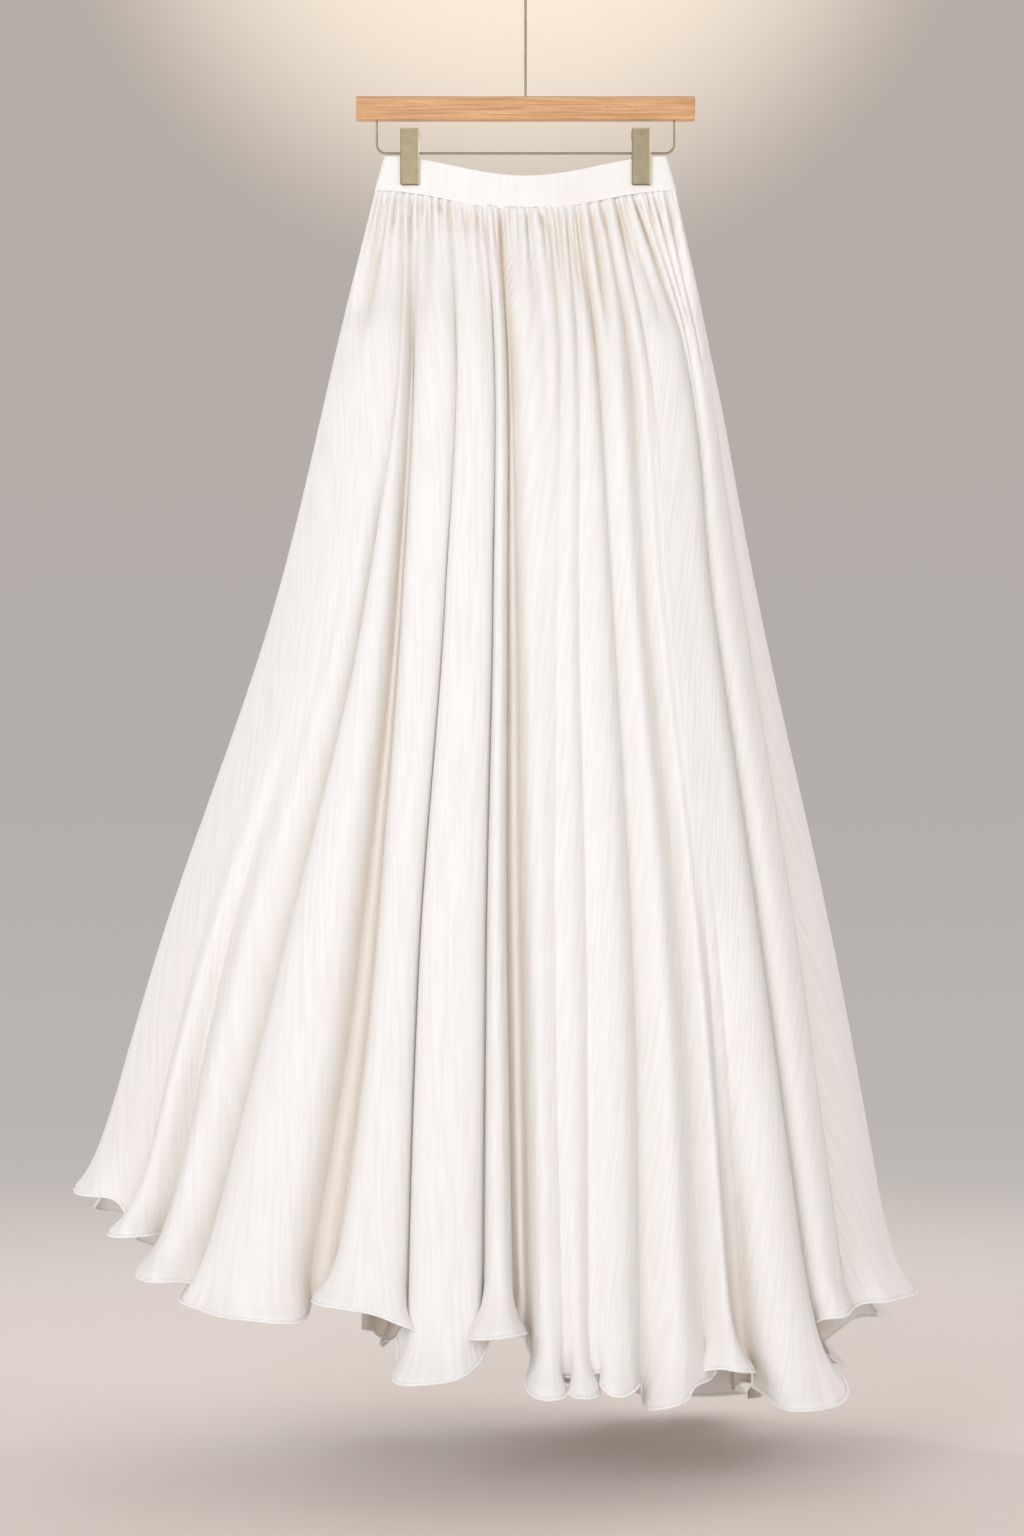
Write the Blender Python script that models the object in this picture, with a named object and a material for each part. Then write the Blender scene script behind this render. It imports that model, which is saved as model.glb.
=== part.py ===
"""A gathered maxi skirt that hangs by two clips from a flat wooden hanger.

+Z is up and the skirt's front faces -Y. The origin is the inside top of the hook, where it bears on
a rail. Tables and named sizes are in millimetres; MM turns them into metres when a mesh is made.

The skirt's cloth follows one rule. An outline, round in plan, widens from the flat waist to the hem.
Fold lines run down it, each at its own angle round the skirt: 0 is the left side, 90 the middle of
the front, 180 the right side and 270 the middle of the back. Cloth is tucked inwards on each fold
line and swells back to the outline between two lines, and near the hem the swells flare like bells.
"""

from collections import namedtuple
import math

import bmesh
import bpy
from mathutils import Matrix, Vector
import numpy as np

MM = 0.001
GAP = 0.3                    # clearance between touching pieces

# ---------------------------------------------------------------- the skirt's sizes
WAIST_HALF_WIDTH = 150.0     # flat waist, at the seam under the band
BAND_TOP_HALF_WIDTH = 140.5  # the band's ends lean in towards its top edge
BAND_HEIGHT = 34.0
BAND_WALL = 2.0
BAND_LEAN = 2.0              # how far each face of the band leans in towards its top edge
CLOTH_WALL = 1.0
SEAM_END_Z = -254.0          # seam height at the two sides
WAIST_DIP = 21.0             # how far the middle of the waist sags between the clips
WAIST_REFERENCE_Z = -265.0   # hem lengths are counted down from here
BUTTON_LAP = 12.0            # each band end passes the centre back by this much
LAP_RISE = (14.0, 2.0)       # the outer end rises between these distances beside the inner end

GATHERS = 45                 # gathers in each panel, across the seam
GATHER_SWELL = 1.30          # half the depth of one gather, where it is fullest
GATHER_AT_SEAM = 0.25        # share of that depth right at the seam
GATHER_OPENS = 14.0          # a gather is fullest this far below the seam
GATHER_FADES = (18.0, 95.0)  # it starts to fade at the first of these, over the second
PLEAT_SWELL = 1.7            # half the depth of the soft pleats that two gathers run into
PLEAT_GROWS = (6.0, 55.0)    # where a pleat starts and over what length it grows
PLEAT_FADES = (90.0, 300.0)
PLAIN_AT_SEAM = 0.06         # share of the waist, beside each side seam, over which gathers start
BELL_HEIGHT = 130.0          # the hem flares over its last stretch
BELL_FLARE = 3.0             # how far the whole hem flares outwards
FOLD_GROWTH = 110.0          # a fold reaches full depth over this length; one that starts low, over more
HEM_ROUNDNESS = 1.0
STEEPNESS = 0.13             # how far a sharp fold's walls stand up beside its line
VALLEY_SOFTNESS = 0.09
WIDE_SWELL = 60.0            # narrower swells flatten the gathers that cross them
END_SHARPNESS = 60           # how late the ends of the outline close in plan

# Gathers aren't even: their spacing and depth vary by a few slow waves across the waist. Each wave has
# its size (as a share of the waist, or of the depth), its count of periods and where it starts.
Wave = namedtuple("Wave", "size periods start")
GATHER_SPACING = (Wave(0.0035, 3.0, 0.0), Wave(0.0022, 7.3, 0.0))
GATHER_DEPTH = Wave(0.15, 5.0, 0.0)
PLEAT_DEPTH = Wave(0.30, 3.7, 1.0)
PLEAT_START = 0.6            # shifts the pleats against the gathers that they grow from

# The outline in plan, from the waist down: the two sides, how deep the front and the back are, how
# pinched the ends are (0.5 is an ellipse, more is a lens) and the half width of the fold at each end.
Station = namedtuple("Station", "z left right front back pinch end_fold")
STATIONS = (
    Station(-265.0, -153.0, 152.5, 14.0, 15.0, 3.2, 2.6),
    Station(-385.0, -182.5, 179.0, 50.0, 44.0, 0.6, 5.0),
    Station(-665.0, -250.5, 232.5, 98.0, 84.0, 0.5, 0.0),
    Station(-1015.0, -368.5, 309.5, 148.0, 122.0, 0.5, 0.0),
    Station(-1385.0, -472.0, 377.0, 190.0, 152.0, 0.5, 0.0),
)

# Fold lines. Angles at the five stations; start is how far below the seam a fold begins, tuck its
# depth as a share of the outline's depth, valley_hem the hem's length on the line. The rest is about
# the swell between this line and the next: round is its section (1 is a plain wave, less is flatter
# with steeper walls), lean pushes it round the skirt, flare and spread are how far its hem curls
# outwards and sideways, recess sets its crest in as a share of the outline's depth, cloth is its width
# when flat, crest_hem its hem's length. The last row of a panel only ends the swell before it.
Fold = namedtuple(
    "Fold",
    "name waist hip thigh knee hem start tuck round valley_hem lean flare spread recess cloth crest_hem")
FRONT_FOLDS = (
    Fold("left side seam", 0, -5, -8, -10, -12, 90, 0.04, 1.5, 994, 0.0, 8, 0.10, 0, 175, 983),
    Fold("left soft valley", 24, 28, 30, 29, 29, 500, 0.10, 1.5, 1010, 0.0, 8, 0.10, 0, 101, 1013),
    Fold("left dark valley", 31, 39, 41, 37, 38, 450, 0.16, 1.0, 1026, -0.1, 14, 0.10, 0, 92, 1048),
    Fold("broad lobe edge", 37, 46.8, 51.5, 51, 46.5, 120, 0.16, 0.4, 1056, -0.1, 12, 0.12, 0, 166, 1086),
    Fold("dark valley 1", 42, 50.5, 59.5, 66.1, 65.2, 30, 0.22, 1.5, 1070, 0.0, 0, 0.0, 0.18, 37, 1074),
    Fold("lobe 2 edge", 43.5, 52.2, 61.5, 69.3, 69.2, 30, 0.22, 0.3, 1056, 0.0, 18, 0.19, 0, 138, 1078),
    Fold("thin valley 1", 60.5, 67.7, 73, 77.3, 81, 16, 0.13, 0.25, 1098, -0.05, 24, 0.14, 0, 147, 1138),
    Fold("thin valley 2", 75, 80, 84.5, 88.5, 91, 16, 0.15, 0.5, 1092, 0.0, 20, 0.22, 0, 69, 1092),
    Fold("middle valley", 80, 84, 87.8, 92, 95.2, 24, 0.2, 1.5, 1096, 0.0, 0, 0.0, 0.14, 46, 1100),
    Fold("lobe 5 edge", 81.5, 85.6, 90.4, 94.8, 97.2, 24, 0.2, 0.7, 1130, 0.0, 5, 0.08, 0, 69, 1146),
    Fold("soft line", 98.5, 100.8, 99.5, 99.8, 101.4, 12, 0.04, 0.8, 1144, 0.0, 4, 0.04, 0, 55, 1146),
    Fold("lobe line", 105, 106.5, 104.8, 105.2, 104.6, 20, 0.05, 0.6, 1138, 0.0, 7, 0.06, 0, 120, 1144),
    Fold("grey valley", 110.5, 112.3, 113.2, 113.5, 112, 14, 0.12, 1.5, 1149, 0.0, 14, 0.10, 0, 101, 1160),
    Fold("short valley", 120, 124, 122.8, 123.1, 122, 40, 0.13, 1.2, 1130, 0.0, 8, 0.08, 0, 74, 1132),
    Fold("right valley", 125.5, 129.6, 128, 127.5, 126.8, 560, 0.20, 1.5, 1138, 0, 0, 0, 0.17, 33, 1130),
    Fold("lobe 7 edge", 127, 131.4, 130.2, 130, 130, 560, 0.20, 0.5, 1162, 0.0, 26, 0.22, 0, 147, 1167),
    Fold("right dark edge", 136, 149, 145.5, 142.5, 142.5, 60, 0.14, 0.6, 1112, 0.0, 4, 0.0, 0.04, 83, 1088),
    Fold("right side seam", 180, 170, 161, 154, 151, 90, 0.07, 1.5, 1094, 0, 0, 0, 0, 0, 0),
)
BACK_FOLDS = (
    Fold("right side seam", 180, 170, 161, 154, 151, 90, 0.07, 1.5, 1094, 0.0, 8, 0.08, 0, 230, 1084),
    Fold("back valley 1", 206, 190, 191, 193, 194, 300, 0.18, 0.9, 1112, 0.0, 14, 0.12, 0, 130, 1128),
    Fold("back valley 2", 215, 209, 210, 211, 212, 30, 0.24, 0.3, 1160, 0.05, 18, 0.14, 0, 150, 1190),
    Fold("back valley 3", 225, 225, 226, 227, 227, 8, 0.26, 1.5, 1208, 0, 0, 0, 0.22, 46, 1200),
    Fold("back lobe 4", 226.5, 227.2, 228.4, 230, 231, 8, 0.26, 0.3, 1210, 0.0, 22, 0.18, 0, 150, 1224),
    Fold("back valley 4", 240, 242, 243, 243, 244, 40, 0.16, 1.3, 1222, 0.0, 16, 0.10, 0, 130, 1218),
    Fold("back valley 5", 253, 256, 257, 258, 258, 8, 0.26, 0.25, 1204, -0.05, 20, 0.14, 0, 140, 1172),
    Fold("centre back valley", 269, 269, 270, 270, 270, 20, 0.16, 0.8, 1152, 0.0, 24, 0.12, 0, 150, 1164),
    Fold("back valley 6", 286, 285, 284, 284, 283, 16, 0.30, 1.5, 1160, 0, 0, 0, 0.26, 46, 1158),
    Fold("back lobe 7", 287.5, 287, 286.5, 287, 286.5, 16, 0.30, 0.3, 1150, 0.0, 18, 0.18, 0, 140, 1120),
    Fold("back valley 7", 302, 300, 298, 297, 297, 8, 0.22, 0.5, 1106, 0.0, 18, 0.12, 0, 140, 1108),
    Fold("back valley 8", 319, 316, 315, 313, 313, 40, 0.22, 0.3, 1090, -0.05, 14, 0.12, 0, 140, 1062),
    Fold("back valley 9", 337, 333, 331, 330, 330, 240, 0.14, 1.2, 1040, 0.0, 10, 0.10, 0, 150, 1012),
    Fold("left side seam", 360, 355, 352, 350, 348, 90, 0.04, 1.5, 994, 0, 0, 0, 0, 0, 0),
)

# Rows of the panels' mesh, as shares of the way down: close together in the gathers and in the bell.
GATHER_ROWS = (0.0, 0.012, 0.04)
BODY_ROWS = (0.10, 0.19, 0.32, 0.47, 0.63, 0.78, 0.88, 0.945, 1.0)
GATHER_COLUMNS = 4 * GATHERS
BODY_COLUMNS = GATHER_COLUMNS // 2
SEAM_COLUMN = 0.60           # the columns beside a side seam are this much closer to it
OWN_COLUMNS_AT = 0.10        # share of the way down where each swell has its own columns
FEWEST_COLUMNS = 3           # in one swell
EVEN_SPACING = 0.35          # 0 spaces a swell's columns closest at its ends, 1 spaces them evenly
FINE_STEP = 2e-4             # step in a share, for the slope of a surface
CORNER_REACH = 1.5           # most that a skin is moved out at a corner, in half walls

# ---------------------------------------------------------------- the hanger's sizes
BAR_LENGTH = 339.0
BAR_HEIGHT = 23.5
BAR_DEPTH = 12.0
BAR_TOP_Z = -160.3
BAR_EDGE = 1.5
HOLE_DEPTH = 12.0            # the hook and the wire's ends are set this deep into the bar

HOOK_WIRE = 2.6
HOOK_INNER_RADIUS = 21.0
HOOK_JOIN_ANGLE = -55.0      # where the stem's bend runs into the hook's circle
HOOK_END_ANGLE = 200.0

LOWER_WIRE = 2.2
LOWER_WIRE_HALF_SPAN = 148.7
LOWER_WIRE_Z = -216.4
LOWER_WIRE_CORNER = 9.0

CLIP_X = 115.5
CLIP_WIDTH = 19.0
CLIP_TOP_Z = -192.0
CLIP_BOTTOM_Z = -249.3
CLIP_PLATE = 1.2
CLIP_INNER_Y = 5.5           # the plates' inner faces, just clear of the band they hold
CLIP_RIM = 1.3
CLIP_RECESS = 0.4
FLANGE_TOP_Z = -203.0        # side flanges close round the wire between these two heights
FLANGE_BOTTOM_Z = -219.5

BUTTON_RADIUS = 7.5
BUTTON_THICKNESS = 2.6
BUTTON_RIM = 1.3
BUTTON_DISH = 0.8
BUTTON_HOLE_RADIUS = 0.8
BUTTON_HOLE_PITCH = 3.0


# ---------------------------------------------------------------- curves and small helpers
def smooth_curve(places, values, at):
    """A smooth line through a table's values, straight beyond its ends."""
    places, values = np.asarray(places, float), np.asarray(values, float)
    slopes = np.gradient(values, places)
    i = np.clip(np.searchsorted(places, at) - 1, 0, len(places) - 2)
    span = places[i + 1] - places[i]
    t = (at - places[i]) / span
    inside = np.clip(t, 0.0, 1.0)
    t2, t3 = inside ** 2, inside ** 3
    curve = ((2 * t3 - 3 * t2 + 1) * values[i] + (t3 - 2 * t2 + inside) * span * slopes[i]
             + (3 * t2 - 2 * t3) * values[i + 1] + (t3 - t2) * span * slopes[i + 1])
    beyond = np.where(t < 0.0, t * span * slopes[i], np.where(t > 1.0, (t - 1) * span * slopes[i + 1], 0))
    return curve + beyond


def ease(x):
    """0 to 1 with a gentle start and end."""
    x = np.clip(x, 0.0, 1.0)
    return x * x * (3.0 - 2.0 * x)


def wave(share, shape):
    return shape.size * np.sin(2 * np.pi * shape.periods * share + shape.start)


def swell_height(v, roundness):
    """How far out the cloth is across a swell: 0 on the fold lines, 1 in the middle."""
    squared = np.sin(np.pi * v) ** 2 + VALLEY_SOFTNESS ** 2
    floor, peak = VALLEY_SOFTNESS ** 2, 1 + VALLEY_SOFTNESS ** 2
    power = roundness / 2
    return (squared ** power - floor ** power) / (peak ** power - floor ** power)


def station(name, z):
    """One of the outline's sizes at height z."""
    low_to_high = STATIONS[::-1]
    return smooth_curve([s.z for s in low_to_high], [getattr(s, name) for s in low_to_high], z)


def from_long_axis(across, around, depth, fold, pinch):
    """How far the outline is from its long axis in plan; its two ends close on a narrow fold."""
    ends = np.sqrt(np.maximum(1 - across ** END_SHARPNESS, 0.0))
    return fold * ends + (depth - fold) * np.abs(around) ** (2 * pinch)


def outline(angle, z):
    """A point of the outline and its outward direction, at an angle in degrees and a height."""
    turn = np.radians(angle)
    across, around = -np.cos(turn), np.sin(turn)
    left, right = station("left", z), station("right", z)
    depth = np.where(around > 0, station("front", z), station("back", z))
    half, fold = (right - left) / 2, np.maximum(station("end_fold", z), 0.0)
    pinch = np.maximum(station("pinch", z), 0.5)
    away = from_long_axis(across, around, depth, fold, pinch)
    x, y = (left + right) / 2 + half * across, -np.sign(around) * away
    normal = np.stack([across * depth, -around * half])
    normal = normal / np.linalg.norm(normal, axis=0)
    return x, y, normal


def seam_height(across):
    """Height of the seam under the band; across runs from -1 at the left to 1 at the right."""
    return SEAM_END_Z - WAIST_DIP * np.cos(across * np.pi / 2) ** 2


# ---------------------------------------------------------------- the drape of a panel
class Panel:
    """One panel of the skirt: share u runs across its cloth, share t runs down it."""

    def __init__(self, folds):
        self.folds = folds
        cloth = np.array([f.cloth for f in folds[:-1]], float)
        self.edges = np.concatenate([[0.0], np.cumsum(cloth) / cloth.sum()])
        self.count = len(folds) - 1
        self.table = {name: np.array([getattr(f, name) for f in folds], float) for name in Fold._fields[1:]}
        fine = np.linspace(0.0, 1.0, 4001)
        self.fine, self.fine_seam = fine, self.seam_share(fine)

    def between(self, name, i, v):
        """A fold line's value, blended from one line to the next."""
        values = self.table[name]
        return values[i] + (values[i + 1] - values[i]) * v

    def swell(self, u):
        """Which swell a share of the cloth is in, and how far across that swell."""
        i = np.clip(np.searchsorted(self.edges, u, side="right") - 1, 0, self.count - 1)
        return i, (u - self.edges[i]) / (self.edges[i + 1] - self.edges[i])

    def seam_share(self, u):
        """How far across the waist seam this cloth starts, from 0 to 1."""
        i, v = self.swell(u)
        waist = self.table["waist"]
        angle = np.radians(self.between("waist", i, v))
        first, last = np.radians(waist[0]), np.radians(waist[-1])
        return (np.cos(first) - np.cos(angle)) / (np.cos(first) - np.cos(last))

    def cloth_at_seam(self, share):
        """The cloth share that starts at this share of the waist seam."""
        return np.interp(share, self.fine_seam, self.fine)

    def heights(self, u, t):
        """Height of a point and how far it is below the seam and above the hem."""
        i, v = self.swell(u)
        angle = np.radians(self.between("waist", i, v))
        top = seam_height(-np.cos(angle)) - GAP
        drop = self.table["crest_hem"][i] - self.between("valley_hem", i, 0.5)
        drop = self.between("valley_hem", i, v) + drop * swell_height(v, HEM_ROUNDNESS)
        hem = WAIST_REFERENCE_Z - drop
        z = top + (hem - top) * t
        return z, top - z, z - hem

    def folded(self, u, t):
        """The cloth with its large folds and its flared hem, before the gathers. Also gives how far
        a point is below the seam, and how open the fold is around it: 0 deep in a valley."""
        z, below, above = self.heights(u, t)
        i, v = self.swell(u)
        zs = [s.z for s in STATIONS[::-1]]
        angles, growths = [], []
        for f in self.folds:
            angles.append(smooth_curve(zs, (f.hem, f.knee, f.thigh, f.hip, f.waist), z))
            growths.append(ease((below - f.start) / (FOLD_GROWTH + f.start)))
        pick = np.arange(u.size)
        angles, growths = np.array(angles), np.array(growths)
        a0, a1 = angles[i, pick], angles[i + 1, pick]
        g0, g1 = growths[i, pick], growths[i + 1, pick]
        angle, eased = a0 + (a1 - a0) * v, ease(v)
        x, y, normal = outline(angle, z)

        room = np.where(y < 0, station("front", z), station("back", z))
        roundness = self.table["round"][i]
        crest = swell_height(v, roundness)
        d0, d1 = self.table["tuck"][i] * g0, self.table["tuck"][i + 1] * g1
        inward = (d0 + (d1 - d0) * eased) * room
        grown = np.minimum(g0, g1)
        recess = self.table["recess"][i] * grown * room
        turn = np.radians(angle)
        half = (station("right", z) - station("left", z)) / 2
        width = np.radians(a1 - a0) * np.hypot(half * np.sin(turn), room * np.cos(turn))
        bell = np.clip(1 - above / BELL_HEIGHT, 0, 1) ** 3
        steep = STEEPNESS * np.clip(1 - roundness, 0, 1) * grown * np.sin(2 * np.pi * v)
        spread = self.table["spread"][i] * bell * np.sin(2 * np.pi * v) * np.sin(np.pi * v)
        flare = BELL_FLARE + self.table["flare"][i] * np.sin(np.pi * v) ** 2
        out = bell * flare - inward * (1 - crest) - recess * crest
        side = self.table["lean"][i] * inward * crest - (steep + spread) * width
        x = x + normal[0] * out - normal[1] * side
        y = y + normal[1] * out + normal[0] * side
        wide = ease(width / WIDE_SWELL)
        return x, y, z, below, 1 - np.maximum(g0, g1) * (1 - crest ** 3 * wide)

    def point(self, u, t):
        """The cloth with its gathers: an array of points for arrays of shares."""
        x, y, z, below, openness = self.folded(u, t)
        xa, ya = self.folded(u - FINE_STEP, t)[:2]
        xb, yb = self.folded(u + FINE_STEP, t)[:2]
        length = np.hypot(xb - xa, yb - ya)
        nx, ny = (yb - ya) / length, (xa - xb) / length
        share = self.seam_share(u)
        uneven = share + sum(wave(share, shape) for shape in GATHER_SPACING)
        fine = np.sin(2 * np.pi * GATHERS * uneven) * (1 - GATHER_DEPTH.size + wave(share, GATHER_DEPTH))
        broad = np.sin(np.pi * GATHERS * uneven + PLEAT_START)
        broad = broad * (1 - PLEAT_DEPTH.size + wave(share, PLEAT_DEPTH))
        opened = GATHER_AT_SEAM + (1 - GATHER_AT_SEAM) * ease(below / GATHER_OPENS)
        gather = GATHER_SWELL * opened * ease(1 - (below - GATHER_FADES[0]) / GATHER_FADES[1])
        grown = ease((below - PLEAT_GROWS[0]) / PLEAT_GROWS[1])
        pleat = PLEAT_SWELL * grown * ease(1 - (below - PLEAT_FADES[0]) / PLEAT_FADES[1])
        at_side_seam = ease(share / PLAIN_AT_SEAM) * ease((1 - share) / PLAIN_AT_SEAM)
        out = (gather * fine + pleat * broad) * at_side_seam * openness
        return np.stack([x + nx * out, y + ny * out, z])

    def own_columns(self, total):
        """Cloth shares of columns that each swell has for itself, closest together at its ends."""
        weights = np.sqrt(np.diff(self.edges))
        counts = np.maximum(np.round(total * weights / weights.sum()), FEWEST_COLUMNS).astype(int)
        counts[np.argmax(counts)] += total - counts.sum()
        shares = [0.0]
        for k, count in enumerate(counts):
            even = np.arange(1, count + 1) / count
            v = even * EVEN_SPACING + (0.5 - 0.5 * np.cos(np.pi * even)) * (1 - EVEN_SPACING)
            shares.extend(self.edges[k] + (self.edges[k + 1] - self.edges[k]) * v)
        return np.array(shares)


# ---------------------------------------------------------------- objects and materials
def material(name, hex_colour, roughness, metallic=0.0):
    mat = bpy.data.materials.new(name)
    mat.use_nodes = True
    srgb = [int(hex_colour[k:k + 2], 16) / 255 for k in (0, 2, 4)]
    linear = [c / 12.92 if c <= 0.04045 else ((c + 0.055) / 1.055) ** 2.4 for c in srgb]
    shader = mat.node_tree.nodes["Principled BSDF"]
    shader.inputs["Base Color"].default_value = (*linear, 1.0)
    shader.inputs["Roughness"].default_value = roughness
    shader.inputs["Metallic"].default_value = metallic
    return mat


def add_object(name, bm, mat, round_faces=True):
    bmesh.ops.recalc_face_normals(bm, faces=bm.faces)
    mesh = bpy.data.meshes.new(name)
    bm.to_mesh(mesh)
    bm.free()
    mesh.materials.append(mat)
    obj = bpy.data.objects.new(name, mesh)
    bpy.context.scene.collection.objects.link(obj)
    if round_faces:
        mesh.shade_smooth()
        mesh.set_sharp_from_angle(angle=math.radians(40))
    return obj


def add_cutter(name, bm, target):
    """A hidden shape that is cut out of a piece."""
    mesh = bpy.data.meshes.new(name)
    bm.to_mesh(mesh)
    bm.free()
    cutter = bpy.data.objects.new(name, mesh)
    bpy.context.scene.collection.objects.link(cutter)
    cutter.hide_render = True
    cutter.display_type = "WIRE"
    cut = target.modifiers.new(name, "BOOLEAN")
    cut.operation = "DIFFERENCE"
    cut.object = cutter
    return cutter


def box_mesh(low, high):
    bm = bmesh.new()
    bmesh.ops.create_cube(bm, size=1.0)
    low, high = Vector(low) * MM, Vector(high) * MM
    size = high - low
    bmesh.ops.scale(bm, vec=size, verts=bm.verts)
    bmesh.ops.translate(bm, vec=(low + high) / 2, verts=bm.verts)
    return bm


def rod_mesh(radius, length, centre, axis, sides=12):
    """A round bar of this length round a centre, along X, Y or Z."""
    turns = {"X": Matrix.Rotation(math.pi / 2, 4, "Y"), "Y": Matrix.Rotation(math.pi / 2, 4, "X"),
             "Z": Matrix.Identity(4)}
    bm = bmesh.new()
    bmesh.ops.create_cone(
        bm, cap_ends=True, segments=sides, radius1=radius * MM, radius2=radius * MM, depth=length * MM,
        matrix=Matrix.Translation(Vector(centre) * MM) @ turns[axis])
    return bm


# ---------------------------------------------------------------- the skirt's pieces
def unit(vectors):
    return vectors / np.linalg.norm(vectors, axis=0)


def surface(point_at, across, down, outward):
    """Points of one row of a surface and the way to its skins from them. At a corner of the row that
    way halves the corner, and is longer, so that the two skins keep apart."""
    points = point_at(across, down)
    drop = unit(point_at(across, down + FINE_STEP) - point_at(across, down - FINE_STEP))
    run = point_at(across + FINE_STEP, down) - point_at(across - FINE_STEP, down)
    steps = np.diff(points, axis=1)
    before, after = np.hstack([run[:, :1], steps]), np.hstack([steps, run[:, -1:]])
    after[:, 0], before[:, -1] = run[:, 0], run[:, -1]
    before, after = (unit(step - drop * np.sum(step * drop, axis=0)) for step in (before, after))
    normals = unit(np.cross(before + after, drop, axis=0)) * outward
    turned = np.clip(np.sum(before * after, axis=0), -1, 1)
    return points, normals * np.minimum(np.sqrt(2 / (1 + turned + 1e-9)), CORNER_REACH)


def draw_back_ends(points):
    """Draws the two ends of a row back along the cloth, by half of the gap at a seam."""
    for end, neighbour in ((0, 1), (-1, -2)):
        run = points[:, neighbour] - points[:, end]
        points[:, end] += run / np.linalg.norm(run) * (GAP / 2)
    return points


def strip_triangles(upper, lower):
    """Triangles between two rows of points, as pairs of a row (0 upper, 1 lower) and a place in it."""
    triangles = []
    if upper.shape[1] == lower.shape[1]:
        for k in range(upper.shape[1] - 1):
            falling = np.linalg.norm(upper[:, k] - lower[:, k + 1])
            rising = np.linalg.norm(upper[:, k + 1] - lower[:, k])
            a, b, c, d = (0, k), (0, k + 1), (1, k + 1), (1, k)
            triangles += [(a, d, c), (a, c, b)] if falling < rising else [(a, d, b), (b, d, c)]
        return triangles
    for k in range(lower.shape[1] - 1):
        a, b, c, d, e = (0, 2 * k), (0, 2 * k + 1), (0, 2 * k + 2), (1, k), (1, k + 1)
        triangles += [(a, d, b), (b, d, e), (b, e, c)]
    return triangles


def build_shell(name, rows, thickness, mat):
    """A closed wall from rows of points and the ways to its skins; a row may have half the points of
    the row above it. Both skins are cut into the same triangles, so that they keep apart."""
    bm = bmesh.new()
    rows = [(draw_back_ends(points.copy()), normals) for points, normals in rows]
    sides = []
    for way in (0.5, -0.5):
        side = []
        for points, normals in rows:
            skin = points + normals * (way * thickness)
            side.append([bm.verts.new(p * MM) for p in skin.T])
        sides.append(side)
    outer, inner = sides
    for k in range(len(rows) - 1):
        triangles = strip_triangles(rows[k][0], rows[k + 1][0])
        for side in sides:
            pair = side[k], side[k + 1]
            for triangle in triangles:
                bm.faces.new([pair[row][place] for row, place in triangle])
    rims = [(outer[0], inner[0]), (outer[-1], inner[-1])]
    for end in (0, -1):
        rims.append(([row[end] for row in outer], [row[end] for row in inner]))
    for one, other in rims:
        for a, b, c, d in zip(one, one[1:], other[1:], other):
            bm.faces.new((a, b, c, d))
    return add_object(name, bm, mat)


def build_panel(name, folds, mat):
    """A panel: fine columns in the gathers, half as many below, which slide to the swells' own."""
    panel = Panel(folds)
    own = panel.own_columns(BODY_COLUMNS)
    rows = []
    for t in GATHER_ROWS + BODY_ROWS:
        columns = GATHER_COLUMNS if t in GATHER_ROWS else BODY_COLUMNS
        share = np.linspace(0.0, 1.0, columns + 1)
        share[1] *= SEAM_COLUMN
        share[-2] = 1 - SEAM_COLUMN * (1 - share[-2])
        slide = ease(t / OWN_COLUMNS_AT)
        in_swells = np.interp(np.linspace(0.0, 1.0, columns + 1), np.linspace(0.0, 1.0, own.size), own)
        u = panel.cloth_at_seam(share * (1 - slide) + panel.seam_share(in_swells) * slide)
        rows.append(surface(panel.point, u, np.full_like(u, t), -1.0))
    return build_shell(name, rows, CLOTH_WALL, mat)


def band_point(angle, rise):
    """A point of the waistband; rise runs from 0 at its seam to 1 at its top edge."""
    turn = np.radians(angle)
    across, around = -np.cos(turn), np.sin(turn)
    waist = STATIONS[0]
    half = WAIST_HALF_WIDTH + (BAND_TOP_HALF_WIDTH - WAIST_HALF_WIDTH) * rise
    depth = np.where(around > 0, waist.front, waist.back) - BAND_LEAN * rise
    away = from_long_axis(across, around, depth, waist.end_fold, waist.pinch)
    z = seam_height(across) + BAND_HEIGHT * rise
    return np.stack([half * across, -np.sign(around) * away, z])


def build_band(name, angles, mat, point_at=band_point):
    """A length of the waistband between its first and last angle."""
    rows = []
    for rise in (1.0, 0.67, 0.33, 0.0):
        rows.append(surface(point_at, angles, np.full_like(angles, rise), 1.0))
    build_shell(name, rows, BAND_WALL, mat)


def waist_angle(x):
    """The angle, on the back, of a place that is x to the right of the middle."""
    return 360.0 - math.degrees(math.acos(-x / WAIST_HALF_WIDTH))


def lapped_band_point(angle, rise):
    """The waistband's outer end at the back, lifted clear of the end that it covers."""
    start, full = (waist_angle(-BUTTON_LAP - before) for before in LAP_RISE)
    points = band_point(angle, rise)
    points[1] += (BAND_WALL + GAP) * ease((angle - start) / (full - start))
    return points


def build_bands(mat):
    build_band("waistband_front", np.linspace(0.0, 180.0, 61), mat)
    under = np.linspace(180.0, waist_angle(-BUTTON_LAP), 36)
    build_band("waistband_back_right", under, mat)
    over = np.linspace(waist_angle(BUTTON_LAP), 360.0, 36)
    build_band("waistband_back_left", over, mat, lapped_band_point)


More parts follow.
